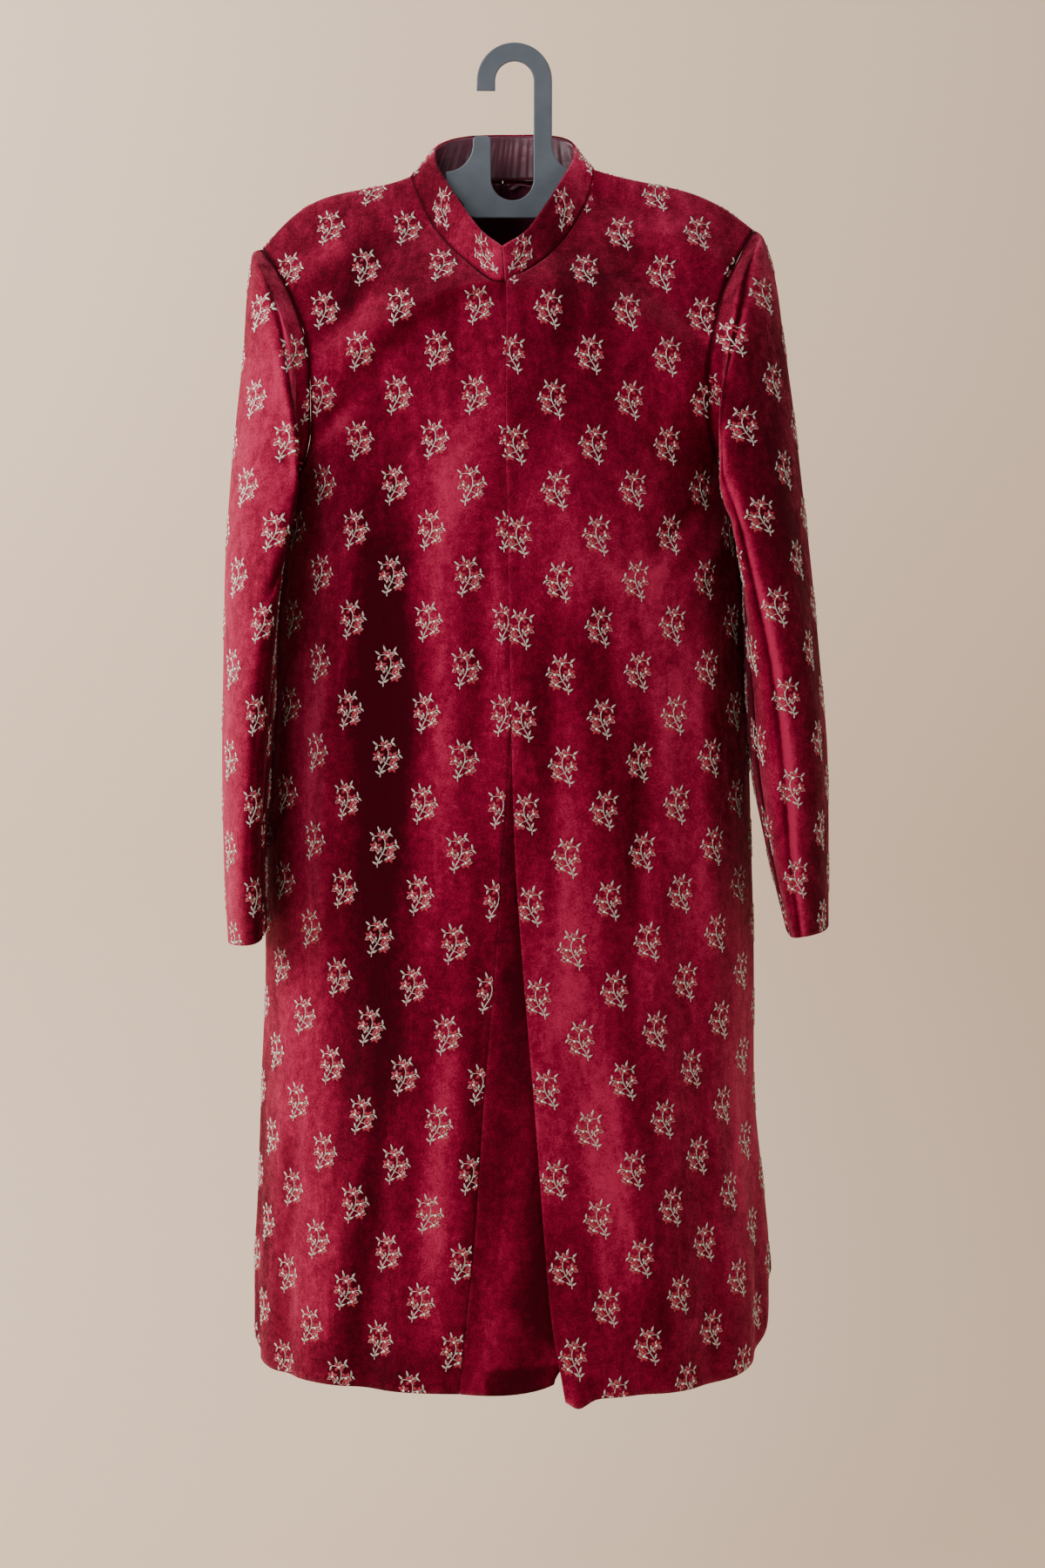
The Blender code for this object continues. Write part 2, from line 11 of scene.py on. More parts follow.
import bmesh
import bpy
import numpy as np
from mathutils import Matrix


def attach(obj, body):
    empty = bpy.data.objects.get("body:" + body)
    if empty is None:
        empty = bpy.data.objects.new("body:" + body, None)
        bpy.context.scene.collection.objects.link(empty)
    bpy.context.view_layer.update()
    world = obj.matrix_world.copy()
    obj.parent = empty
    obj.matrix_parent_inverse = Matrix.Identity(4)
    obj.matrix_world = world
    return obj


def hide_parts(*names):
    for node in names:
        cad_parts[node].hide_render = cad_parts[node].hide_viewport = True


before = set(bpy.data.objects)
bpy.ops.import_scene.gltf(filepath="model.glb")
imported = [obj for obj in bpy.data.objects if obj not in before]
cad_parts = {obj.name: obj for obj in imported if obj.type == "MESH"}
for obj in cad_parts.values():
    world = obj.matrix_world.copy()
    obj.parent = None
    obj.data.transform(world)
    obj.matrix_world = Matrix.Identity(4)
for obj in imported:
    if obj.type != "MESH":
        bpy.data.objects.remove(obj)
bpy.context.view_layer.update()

MM = 0.001

# Walls and gaps, mm
VELVET = 2.0
SATIN = 0.9
SEAM_GAP = 0.3
OVERLAP_LIFT = 3.0
# How far a sewn edge rolls in, and over what width
SEAM_ROLL = 1.3
SEAM_ROLL_WIDTH = 2.6
# Painted shade along a seam, where the edge rolls in: how dark the pile is painted there
SEAM_PAINTED_SHADE = 1.6

# Fineness of each grid: cells across and cells down
BODY_CELLS = (64, 176)
SLEEVE_TOP_CELLS = (60, 120)
SLEEVE_UNDER_CELLS = (22, 120)
COLLAR_CELLS = (150, 12)
LAP_CELLS = (16, 90)
COLLAR_LINING_CELLS = (220, 12)
BACK_LINING_CELLS = (150, 70)

# Rows of every body panel, from the shoulder seam down to the hem.
# round: 0 a straight row, 1 a quarter ellipse. bulge: how far the row's middle stands out.
# arch_left, arch_right: how far the row's outer half rises over a straight line.
SHAPE_COLUMNS = ("round", "bulge", "arch_left", "arch_right")
SHAPE = (
    (0.00, 0, 19, 12),
    (0.02, 0, 19, 12),
    (0.10, 4, 12, 8),
    (0.15, 5, 7, 5),
    (0.20, 5, 3, 2),
    (0.25, 5, 1, 1),
    (0.30, 5, 0, 0),
    (0.30, 4, 0, 0),
    (0.40, 3, 0, 0),
    (0.60, 1, 0, 0),
    (0.88, 0, 0, 0),
) + ((1.00, 0, 0, 0),) * 9
ROW_NAMES = (
    "shoulder seam",
    "shoulder roll",
    "neck side",
    "neck side, lower",
    "neck curve",
    "neck front",
    "neck point",
    "closing corner",
    "upper chest",
    "chest",
    "lower armhole",
    "underarm",
    "bust",
    "waist",
    "upper hip",
    "hip",
    "slit top",
    "thigh",
    "knee",
    "hem",
)
LAST_ROW = len(ROW_NAMES) - 1
CHEST_ROW = ROW_NAMES.index("chest")
WAIST_ROW = ROW_NAMES.index("waist")
SLIT_ROW = ROW_NAMES.index("slit top")
UNDERARM_ROW = ROW_NAMES.index("underarm")

# Edges that the rows run between, one (x, y, z) a row. First the inner edges: neckline, then centre.
UNDER_FRONT_EDGE = (
    (-95, 0, -103),
    (-95, -7, -104),
    (-88, -19, -123),
    (-77, -30, -147),
    (-61, -45, -168),
    (-44, -58, -184),
    (-17, -74, -204),
    (14, -70, -207),
    (14, -84, -262),
    (13, -96, -318),
    (12, -104, -362),
    (10, -107, -391),
    (7, -112, -460),
    (-2, -120, -580),
    (-10, -127, -700),
    (-18, -135, -820),
    (-28, -143, -940),
    (-36, -149, -1060),
    (-43, -152, -1130),
    (-50, -153, -1203),
)
OVER_FRONT_EDGE = (
    (73, 0, -97),
    (73, -7, -98),
    (69, -14, -119),
    (61, -26, -138),
    (48, -40, -160),
    (30, -55, -180),
    (12, -67, -193),
    (-7, -77, -205),
    (-7, -90, -262),
    (-7, -101, -318),
    (-7, -106, -362),
    (-6, -109, -391),
    (-5, -114, -460),
    (-3, -121, -580),
    (0, -128, -700),
    (8, -136, -820),
    (18, -144, -940),
    (27, -150, -1060),
    (33, -153, -1130),
    (46, -155, -1206),
)
BACK_EDGE_LEFT = (
    (-95, 0, -103),
    (-95, 7, -104),
    (-87, 20, -107),
    (-73, 30, -107),
    (-56, 37, -105),
    (-38, 41, -103),
    (-24, 43, -102),
    (-11, 44, -102),
    (-11, 74, -175),
    (-11, 88, -255),
    (-11, 95, -332),
    (-11, 98, -391),
    (-10, 102, -460),
    (-8, 106, -580),
    (-6, 110, -700),
    (-4, 117, -820),
    (-3, 125, -940),
    (-3, 133, -1060),
    (-3, 137, -1130),
    (-3, 140, -1196),
)
BACK_NECK_RIGHT = (
    (73, 0, -97),
    (73, 7, -98),
    (65, 20, -102),
    (51, 30, -103),
    (34, 37, -103),
    (16, 41, -102),
    (2, 43, -102),
)
BACK_EDGE_RIGHT = BACK_NECK_RIGHT + BACK_EDGE_LEFT[len(BACK_NECK_RIGHT) :]

# Outer edges: armhole from the shoulder tip to the underarm, then the side seam.
ARMHOLE_FRONT_LEFT = (
    (-232, 0, -169),
    (-231, -8, -170),
    (-216, -26, -191),
    (-204, -38, -212),
    (-195, -49, -234),
    (-188, -58, -256),
    (-185, -64, -275),
    (-184, -66, -294),
    (-184, -64, -333),
    (-190, -50, -361),
    (-203, -24, -384),
)
ARMHOLE_BACK_LEFT = (
    (-232, 0, -169),
    (-231, 8, -170),
    (-218, 26, -190),
    (-207, 38, -212),
    (-200, 47, -234),
    (-196, 53, -256),
    (-194, 57, -275),
    (-193, 59, -294),
    (-193, 56, -333),
    (-197, 44, -361),
    (-205, 20, -384),
)
SIDE_LEFT = (
    (-211, -2, -391),
    (-216, -4, -458),
    (-226, -6, -580),
    (-234, -8, -700),
    (-234, -8, -820),
    (-239, -8, -940),
    (-244, -10, -1060),
    (-247, -14, -1110),
    (-247, -18, -1165),
)
ARMHOLE_FRONT_RIGHT = (
    (220, 0, -152),
    (219, -8, -153),
    (204, -28, -180),
    (194, -38, -200),
    (185, -49, -224),
    (179, -58, -249),
    (176, -64, -267),
    (175, -67, -284),
    (176, -65, -324),
    (182, -50, -352),
    (193, -24, -375),
)
ARMHOLE_BACK_RIGHT = (
    (220, 0, -152),
    (219, 8, -153),
    (207, 26, -178),
    (198, 38, -200),
    (192, 47, -224),
    (188, 53, -249),
    (186, 57, -267),
    (185, 59, -284),
    (186, 56, -324),
    (189, 44, -352),
    (196, 20, -375),
)
SIDE_RIGHT = (
    (201, -2, -382),
    (211, -4, -455),
    (217, -6, -580),
    (221, -8, -700),
    (225, -8, -826),
    (226, -8, -940),
    (237, -8, -1052),
    (241, -12, -1095),
    (241, -18, -1124),
)
# Below the slit the back hangs a little inside and behind the front: (inward, back), a row each.
SLIT_SPREAD = ((3, 8), (5, 14), (7, 20))
# Where the rounded hem corner starts, as a share of the row.
CORNER_LEFT = 0.66
CORNER_RIGHT = 0.50

# Soft vertical folds of the skirt: (centre, width, depth, top_row). The centre and the width are
# shares of the row, the depth is at the hem, and the fold begins at its top row.
FOLDS_UNDER_FRONT = ((0.30, 0.075, 7, 12), (0.62, 0.055, 5, 14), (0.88, 0.05, 4, 15))
FOLDS_OVER_FRONT = ((0.24, 0.06, 4, 14), (0.50, 0.08, 6, 12), (0.80, 0.06, 6, 14))
FOLDS_BACK_LEFT = ((0.20, 0.07, 8, 12), (0.52, 0.06, 6, 13), (0.80, 0.06, 6, 13))
FOLDS_BACK_RIGHT = ((0.26, 0.06, 7, 12), (0.58, 0.07, 7, 13), (0.84, 0.05, 5, 14))

LAP_WIDTH = 98
LAP_TOP_ROW = 12.6
# How far the strip goes behind the edge it is sewn to
LAP_TUCK = 7
# How far the over front's lower corner comes forward and hangs down
CORNER_CURL = 4
CORNER_DROP = 8
# The middle of that curl and its spread, measured from the panel's edge
CORNER_MIDDLE = 12
CORNER_SPREAD = 11
# How the strip's hem turns in at its free side, rises there and sags before it
LAP_TURN_IN = 12
LAP_RISE = 9
LAP_SAG = 3

# Sleeve rings, from the sleeve head to the cuff, as
# (out_x, out_z, in_x, in_z, mid_y, half, front_in, back_in). out and in: the ring's outer and inner
# point. mid_y, half: its centre and half size from front to back. front_in, back_in: how far its
# front and back lean towards the coat.
SLEEVE_LEFT = (
    (-240, -173, -219, -396, -3, 69, 32, 22),
    (-243, -187, -219, -402, -5, 72, 33, 21),
    (-246, -217, -219, -408, -9, 75, 36, 19),
    (-249, -266, -219, -414, -16, 76, 40, 15),
    (-254, -317, -219, -424, -24, 76, 43, 12),
    (-260, -385, -218, -444, -32, 76, 38, 6),
    (-264, -462, -217, -484, -44, 74, 27, -3),
    (-265, -545, -218, -556, -54, 70, 15, -9),
    (-266, -640, -223, -643, -63, 66, 11, -12),
    (-265, -720, -227, -720, -70, 63, 8, -12),
    (-262, -799, -227, -790, -75, 60, 10, -10),
)
SLEEVE_RIGHT = (
    (227, -157, 209, -387, -3, 69, 30, 21),
    (235, -178, 209, -393, -5, 72, 33, 21),
    (241, -205, 209, -400, -9, 75, 38, 19),
    (247, -250, 209, -407, -14, 76, 42, 15),
    (255, -308, 209, -418, -22, 76, 46, 10),
    (264, -385, 209, -438, -30, 76, 36, 4),
    (273, -465, 210, -480, -38, 74, 26, -2),
    (281, -550, 212, -557, -46, 71, 14, -6),
    (288, -636, 217, -638, -53, 67, 10, -9),
    (289, -712, 231, -714, -60, 63, 12, -11),
    (289, -787, 250, -792, -66, 60, 12, -12),
)
# Armhole rows where the top sleeve meets the under sleeve, at the back and at the front.
BACK_SEAM_ROW = -9
FRONT_SEAM_ROW = 9

# The neckline rows that the collar stands on, and where its two ends meet at centre front.
NECK_ROWS = ROW_NAMES.index("closing corner") + 1
NECK_POINT_ROW = ROW_NAMES.index("neck point")
CLOSING_LEFT = (-8.4, -75.5, -203.5)
CLOSING_RIGHT = (-7.4, -77.5, -205)
COLLAR_GAP = 0.3
COLLAR_LINING_GAP = 1.1
# The collar's top edge, from its left end round the back to its right end.
COLLAR_TOP = (
    (-11.3, -66, -171),
    (-29, -55, -157),
    (-45, -42, -136),
    (-60, -26, -113),
    (-72, -5, -90),
    (-74, 14, -76),
    (-62, 30, -67),
    (-37, 38, -62),
    (-8, 40, -61),
    (19, 38, -61),
    (43, 31, -64),
    (56, 15, -73),
    (54, -5, -87),
    (42, -25, -110),
    (27, -41, -134),
    (10, -55, -157),
    (-10.3, -68, -171),
)

# The back lining that shows inside the neck
LINING_NECK_ROWS = 4.4
LINING_LAST_ROW = 9.4
LINING_HALF_SHARE = 0.5
LINING_GAP = 4.0

# Hanger
PLATE = 4.0
HOOK_INNER = 17.5
HOOK_STRAP = 17.0
HOOK_END_Z = -26.5
NOTCH_LEFT = -21.5
NOTCH_BOTTOM_Z = -125
TAB_TOP_Z = -67
TAB_WIDTH = 16.5
FLARE_TOP_Z = -74
FLARE = 25
PLATE_BOTTOM_Z = -141
PLATE_FOOT = 47
PLATE_EDGE = 1.1
PLATE_CORNER = 12
TAB_CORNER = 4
ARM_RADIUS = 5.5
# The top line of each arm, (distance from the middle, z)
ARM_TOP = ((64, -103), (95, -113), (125, -121), (155, -129), (180, -139), (198, -154))

# Creases of each front, as (x, z, x, z, width, depth): from, to, half width and depth, with a ridge
# above 0 and a trough below it.
CREASES_UNDER_FRONT = (
    (-205, -212, -118, -150, 16, 3.0),
    (-186, -262, -108, -186, 13, -3.0),
    (-180, -300, -90, -222, 17, 2.5),
    (-176, -345, -142, -300, 9, -2.5),
    (-150, -360, -138, -760, 20, 3.0),
    (-108, -300, -98, -900, 22, -4.0),
    (-62, -340, -52, -760, 18, 3.0),
    (-186, -470, -196, -900, 14, -4.0),
    (-20, -420, -40, -700, 12, -1.8),
    (-120, -820, -160, -1190, 17, 4.0),
    (-200, -800, -214, -1120, 13, 2.5),
    (-60, -800, -96, -1180, 15, -3.0),
    (-205, -400, -150, -452, 8, -2.5),
    (-204, -430, -160, -500, 7, 1.8),
    (-60, -214, -24, -330, 13, -1.8),
)
CREASES_OVER_FRONT = (
    (206, -200, 120, -140, 16, 3.0),
    (180, -262, 104, -178, 14, -3.5),
    (172, -306, 92, -214, 15, 2.5),
    (60, -180, 44, -300, 12, -2.0),
    (99, -504, 152, -524, 3.5, -2.6),
    (96, -503, 128, -474, 5, -2.0),
    (104, -520, 150, -545, 7, 2.0),
    (86, -480, 92, -560, 8, -2.0),
    (70, -430, 110, -470, 8, 1.8),
    (170, -400, 120, -460, 9, -3.0),
    (196, -420, 150, -500, 9, 2.5),
    (60, -300, 66, -760, 18, 2.5),
    (120, -560, 108, -900, 15, -3.5),
    (180, -520, 176, -900, 15, 3.5),
    (30, -520, 40, -860, 12, -1.8),
    (125, -872, 188, -918, 7, -3.0),
    (118, -888, 180, -946, 8, 2.5),
    (150, -930, 196, -948, 6, -2.0),
    (90, -860, 130, -1180, 17, 3.5),
    (60, -900, 84, -1190, 14, -2.5),
    (196, -900, 214, -1100, 12, -3.5),
)
CREASES_BACK_LEFT = (
    (-200, -205, -90, -150, 17, 3.0),
    (-190, -250, -70, -190, 15, -3.5),
    (-186, -310, -80, -240, 15, 2.5),
    (-60, -250, -54, -760, 20, -3.0),
    (-130, -330, -138, -900, 20, 3.5),
    (-186, -440, -190, -840, 14, -3.5),
    (-100, -620, -60, -660, 7, -2.0),
    (-110, -840, -130, -1180, 17, 3.0),
    (-205, -400, -160, -460, 8, -2.5),
)
CREASES_BACK_RIGHT = (
    (196, -195, 86, -145, 17, 3.0),
    (184, -240, 70, -180, 15, -3.5),
    (178, -300, 76, -236, 15, 2.5),
    (50, -260, 56, -800, 20, -3.0),
    (120, -330, 128, -900, 20, 3.5),
    (176, -440, 184, -840, 14, -3.5),
    (40, -560, 110, -610, 8, -2.2),
    (100, -860, 124, -1180, 17, -3.0),
    (196, -396, 150, -450, 8, -2.5),
)
# Creases of each sleeve, as (armhole row, place down, armhole row, place down, width in rows, depth)
CREASES_SLEEVE_LEFT = (
    (3.2, 0.4, 6.4, 3.6, 0.8, -2.5),
    (-2.0, 0.6, -4.4, 4.0, 0.9, -2.5),
    (4.6, 3.0, 7.0, 6.4, 0.8, 2.5),
    (7.4, 4.0, 6.2, 11.5, 1.2, -1.6),
    (2.6, 4.0, 2.2, 11.5, 1.4, 1.6),
    (9.0, 4.6, 3.0, 5.6, 0.5, -2.0),
    (8.6, 6.6, 4.2, 7.4, 0.5, -1.8),
    (-3.0, 5.0, -6.0, 7.2, 0.7, -2.2),
    (-2.0, 6.6, -7.0, 9.0, 0.6, -2.0),
    (-5.0, 8.0, -4.4, 11.0, 0.8, 2.0),
)
CREASES_SLEEVE_RIGHT = (
    (1.6, 0.5, 6.6, 3.4, 0.8, -3.5),
    (2.8, 0.6, 7.4, 4.2, 0.7, 3.0),
    (-2.0, 0.6, -4.4, 4.0, 0.9, -2.5),
    (6.8, 4.0, 5.6, 11.5, 0.7, -4.0),
    (4.0, 3.0, 3.4, 11.0, 1.1, 3.0),
    (1.6, 4.6, 1.8, 11.5, 0.9, -2.5),
    (8.6, 5.6, 4.4, 6.6, 0.5, -2.0),
    (-2.6, 5.4, -6.0, 7.0, 0.7, -2.2),
    (-2.0, 7.2, -7.0, 9.4, 0.6, -2.0),
    (-5.0, 8.0, -4.4, 11.0, 0.8, 2.0),
)
# Where the pile lies brushed on each front, and where light and shade are painted on it, such as the pale
# side of the body turned to the light and the dark strip beside the overlap: (x, z, half width, half
# height, tone). Above 0 it looks pale, and below 0 it looks dark.
NAP_AND_PAINTED_LIGHT_UNDER_FRONT = (
    (-104, -500, 26, 120, -0.9),
    (-118, -640, 26, 140, -1.1),
    (-128, -860, 26, 150, -0.8),
    (-146, -1060, 18, 150, -0.7),
    (-52, -380, 20, 70, 0.9),
    (-48, -560, 20, 150, 0.35),
    (-190, -620, 16, 130, 0.8),
    (-196, -860, 20, 170, 0.7),
    (-176, -340, 18, 110, 0.25),
    (-78, -960, 24, 120, 0.35),
    (-84, -1120, 34, 70, 0.3),
    (-34, -1020, 14, 200, -0.8),
    (-120, -210, 60, 50, -0.4),
    (-150, -1185, 90, 24, -0.5),
    (-232, -1060, 16, 120, -0.4),
)
NAP_AND_PAINTED_LIGHT_OVER_FRONT = (
    (70, -230, 34, 70, -0.5),
    (30, -360, 24, 90, 0.2),
    (104, -468, 40, 30, 0.7),
    (60, -430, 30, 60, 0.35),
    (40, -950, 40, 90, 0.55),
    (132, -560, 34, 90, 0.45),
    (110, -660, 24, 60, -0.4),
    (160, -380, 24, 90, -0.6),
    (196, -600, 20, 140, -0.3),
    (190, -780, 20, 70, 0.4),
    (204, -940, 18, 90, 0.6),
    (44, -800, 34, 100, 0.7),
    (90, -1000, 40, 60, 0.3),
    (150, -960, 40, 120, 0.1),
    (120, -1140, 34, 60, -0.3),
    (40, -560, 22, 110, -0.3),
)

# Painted light and shade on each sleeve, as bands: pale where the sleeve turns to the light, dark where it
# turns away or towards the body (armhole row at the top, rows it drifts by place, half width, tone)
SLEEVE_PAINTED_LIGHT = {
    "left": ((3.4, 0.0, 2.4, 0.5), (8.4, -0.1, 1.5, -1.0)),
    "right": ((8.0, -0.2, 0.9, 0.9), (5.4, -0.2, 1.4, -0.7), (1.0, 0.0, 1.6, -0.4)),
}

# A sleeve's creases are laid out in mm, with this much for an armhole row and for a place down
SLEEVE_ROW_MM = 14
SLEEVE_PLACE_MM = 60
# Small puckers where the sleeve head is eased into the armhole
PUCKER = 0.7

# The lattice of sprigs: columns stand this far apart, and every second one drops by half a row step.
COLUMN_STEP = 35.5
ROW_STEP = 81.0
# The first sprig of each body panel, (across, up), and how far the lattice goes on around it
FIRST_SPRIG = {
    "front_under": (-35.8, -223),
    "front_over": (-0.5, -268),
    "back_left": (18.0, -250),
    "back_right": (-17.5, -250),
}
COLUMNS_BEFORE = 12
ROWS_ABOVE = 4
BODY_LATTICE = (24, 18)
SLEEVE_LATTICE = (13, 11)
SLEEVE_COLUMNS_BEFORE = 6
SLEEVE_ROWS_ABOVE = 0.5
# The collar's sprigs, on each side of its middle
COLLAR_LATTICE = (3, 1)
COLLAR_STEP = 66.0
COLLAR_FIRST_LEFT = 21
COLLAR_LAST_RIGHT = 20
COLLAR_TURN = 0.7

# How strongly a crease's slope is painted as light and shade: paler where it faces left or up, towards the
# lamps
PAINTED_LIGHT_LEFT = 2.2
PAINTED_LIGHT_UP = 1.2
# How far the cut leans outward, above the waist and more in the skirt
GRAIN_TILT = 0.015
SKIRT_TILT = 0.09
# The solver of the flat cut stops after this many rounds, or when its error is this small
FLAT_ROUNDS = 700
FLAT_ERROR = 1e-8

# The sprig: sizes in mm and directions in degrees, with its middle at the origin and up as +y
ZARI, SILK, PEARL = 0, 1, 2
SPRIG_STEM = (
    (-5.0, -18.8),
    (-5.0, -14.6),
    (-2.6, -9.4),
    (-0.7, -6.4),
    (1.0, -1.8),
    (1.4, 3.0),
    (0.6, 6.6),
    (-1.4, 9.0),
)
# (from x, from y, to x, to y) of each twig, which ends in a flower or in a pair of leaves
SPRIG_TWIGS = (
    (-0.7, -6.4, -6.8, -0.6),
    (-0.7, -6.4, 5.2, -9.0),
    (1.1, -1.8, 5.9, -0.1),
    (5.9, -0.1, 11.0, 2.2),
    (-1.4, 9.0, -8.8, 9.2),
    (-1.4, 9.0, 3.6, 12.6),
)
# How far a twig's middle bows off its straight line
TWIG_BOW = (0.2, 0.7)
# (x, y, direction, length) of each silver leaf
SPRIG_LEAVES = (
    (-5.2, -16.0, 152, 5.0),
    (-4.9, -13.0, 112, 5.6),
    (-4.6, -15.2, 34, 5.6),
    (-3.6, -4.0, 238, 3.8),
    (-2.0, -3.6, 96, 4.0),
    (1.2, -2.2, 46, 3.6),
    (-7.2, 0.4, 84, 3.6),
    (-3.4, 12.0, 112, 6.8),
    (-8.6, 9.4, 142, 5.6),
    (-8.8, 9.0, 252, 4.8),
    (3.4, 12.4, 64, 5.8),
    (3.6, 12.8, -38, 5.4),
    (11.0, 2.2, 98, 5.4),
    (11.0, 2.2, -44, 4.6),
    (6.4, -8.2, 40, 4.6),
    (4.6, -9.6, 212, 4.4),
)
# (x, y, directions of its petals) of each flower
SPRIG_FLOWERS = (
    (-1.4, 9.0, (146, 78, 226, -34, 14)),
    (-7.2, -0.6, (152, 214, 32, 96, -58)),
    (5.9, -0.2, (64, -16, 132, -112, -66)),
    (5.3, -9.2, (-60, 6, -122, 118, 62)),
)
# A leaf or petal: its outline as (along, aside) shares, and the two ends of its ridge
LEAF_OUTLINE = ((0, 0), (0.3, 0.5), (0.62, 0.42), (1, 0), (0.62, -0.42), (0.3, -0.5))
LEAF_RIDGE = (0.3, 0.68)
# Widths and heights above the cloth
STEM_WIDTH, STEM_HEIGHT = 0.95, 0.75
TWIG_WIDTH, TWIG_HEIGHT = 0.65, 0.6
LEAF_WIDTH, LEAF_HEIGHT = 1.9, 0.9
PETAL_LENGTH, PETAL_WIDTH, PETAL_HEIGHT = 4.9, 2.9, 0.8
PETAL_ROOT = 0.9
RIM, RIM_HEIGHT = 0.28, 0.3
BEAD_SIDES = 7
BEAD_RADIUS, BEAD_HEIGHT, BEAD_RIM_SHARE = 1.2, 1.35, 0.4
# Each sprig turns by up to this much, in radians, by a fixed seed
SPRIG_LEAN = 0.05
LEAN_SEED = 4

# The camera and the studio, in metres
CAMERA_PLACE = (0.0074, -2.691, -0.381)
CAMERA_TILT = 84
CAMERA_LENS = 66.24
SENSOR_WIDTH = 36.0
SWEEP_HALF_WIDTH = 4.5
SWEEP_FRONT_Y = -4.0
FLOOR_Z = -1.75
BEND_Y = 0.9
BEND_RADIUS = 0.8
SWEEP_TOP_Z = 3.5
PAPER_COLOUR = (0.72, 0.56, 0.42, 1)
ROOM_COLOUR = (1.0, 0.95, 0.9, 1)
ROOM_LIGHT = 0.30
# (name, place, what it points at, size, watts, colour) of each area light
LIGHTS = (
    ("key", (-1.5, -2.7, 0.9), (0, 0, -0.6), 1.5, 62, (1.0, 0.97, 0.94)),
    ("fill", (2.4, -2.2, -0.2), (0, 0, -0.7), 1.8, 20, (1.0, 0.96, 0.92)),
    ("top", (0.2, 0.3, 1.6), (0, 0, -0.3), 1.4, 16, (1.0, 0.98, 0.96)),
    ("left", (-2.4, -1.2, -0.1), (0, 0, -0.6), 1.2, 24, (1.0, 0.97, 0.95)),
    ("paper", (-2.3, 0.3, 0.6), (-0.9, 1.7, -0.6), 2.0, 105, (1.0, 0.97, 0.95)),
)


def add_object(name, data):
    """A new object in the scene."""
    made = bpy.data.objects.new(name, data)
    bpy.context.scene.collection.objects.link(made)
    return made


def hermite(table, places):
    """Rows of a table read at any place, on a smooth curve that never overshoots its rows."""
    table = np.asarray(table, float)
    rise = np.diff(table, axis=0)
    slope = np.zeros_like(table)
    same_way = rise[:-1] * rise[1:] > 0
    total = np.where(same_way, rise[:-1] + rise[1:], 1.0)
    slope[1:-1] = np.where(same_way, 2 * rise[:-1] * rise[1:] / total, 0.0)
    slope[0] = rise[0]
    slope[-1] = rise[-1]
    places = np.clip(places, 0, len(table) - 1)
    row = np.minimum(places.astype(int), len(table) - 2)
    t = (places - row).reshape(places.shape + (1,) * (table.ndim - 1))
    a = (1 + 2 * t) * (1 - t) ** 2
    b = t * (1 - t) ** 2
    c = t * t * (3 - 2 * t)
    d = t * t * (t - 1)
    return a * table[row] + b * slope[row] + c * table[row + 1] + d * slope[row + 1]


def unit(vectors):
    """The vectors at length 1."""
    return vectors / (np.linalg.norm(vectors, axis=-1, keepdims=True) + 1e-12)


def smooth_step(low, high, value):
    """A soft step of value from 0 at low to 1 at high. It falls where low is above high."""
    t = np.clip((value - low) / (high - low), 0, 1)
    return t * t * (3 - 2 * t)


# Shapes of the pieces: each function takes arrays of two places and returns points in millimetres


def body_panel(inner, outer, side, facing, folds, corner):
    """A function from (share along the row, row) to a point of the body, for one panel.

    side is -1 or 1 in X, facing is -1 for a front and 1 for a back.
    """
    arch_column = SHAPE_COLUMNS.index("arch_left" if side < 0 else "arch_right")

    def point(s, row):
        a = hermite(inner, row)
        b = hermite(outer, row)
        shape = hermite(SHAPE, row)
        roundness = shape[..., 0]
        across = (1 - roundness) * s + roundness * np.sin(s * math.pi / 2)
        depth = (1 - roundness) * (1 - s) + roundness * np.cos(s * math.pi / 2)
        t = np.clip((s - corner) / (1 - corner), 0, 1)
        rounded = 1 - np.sqrt(1 - t * t)
        hem = smooth_step(SLIT_ROW, LAST_ROW, row)
        level = smooth_step(2, 7, row)
        fall = (1 - level) * s + level * s * s * (3 - 2 * s)
        fall = (1 - hem) * fall + hem * rounded
        x = a[..., 0] + (b[..., 0] - a[..., 0]) * across
        y = b[..., 1] + (a[..., 1] - b[..., 1]) * depth + facing * shape[..., 1] * np.sin(s * math.pi)
        z = a[..., 2] + (b[..., 2] - a[..., 2]) * fall
        z += shape[..., arch_column] * np.sin(math.pi * np.clip(s, 0, 1) ** 1.6)
        for centre, width, fold_depth, top_row in folds:
            wave = np.exp(-(((s - centre) / width) ** 2)) * smooth_step(top_row, LAST_ROW, row)
            x -= side * fold_depth * wave * np.sin(s * math.pi / 2)
            y -= facing * fold_depth * wave * np.cos(s * math.pi / 2)
        return np.stack([x, y, z], axis=-1)

    return point


def spread_side(side_seam, side):
    """The back's edge of the side seam, which stands away from the front below the slit."""
    rows = [tuple(row) for row in side_seam]
    for place, (inward, back) in zip(range(-len(SLIT_SPREAD), 0), SLIT_SPREAD):
        x, y, z = rows[place]
        rows[place] = (x - side * inward, y + back, z)
    return tuple(rows)


def over_front():
    """The over front's form, which is lifted off the under front near the closing."""
    flat = body_panel(
        OVER_FRONT_EDGE, ARMHOLE_FRONT_RIGHT + SIDE_RIGHT, 1, -1, FOLDS_OVER_FRONT, CORNER_RIGHT
    )

    def point(s, row):
        points = flat(s, row)
        away = points[..., 0] - hermite(OVER_FRONT_EDGE, row)[..., 0]
        points[..., 1] -= OVERLAP_LIFT * (1 - smooth_step(90, 160, away)) * smooth_step(4, 6, row)
        return points

    return point


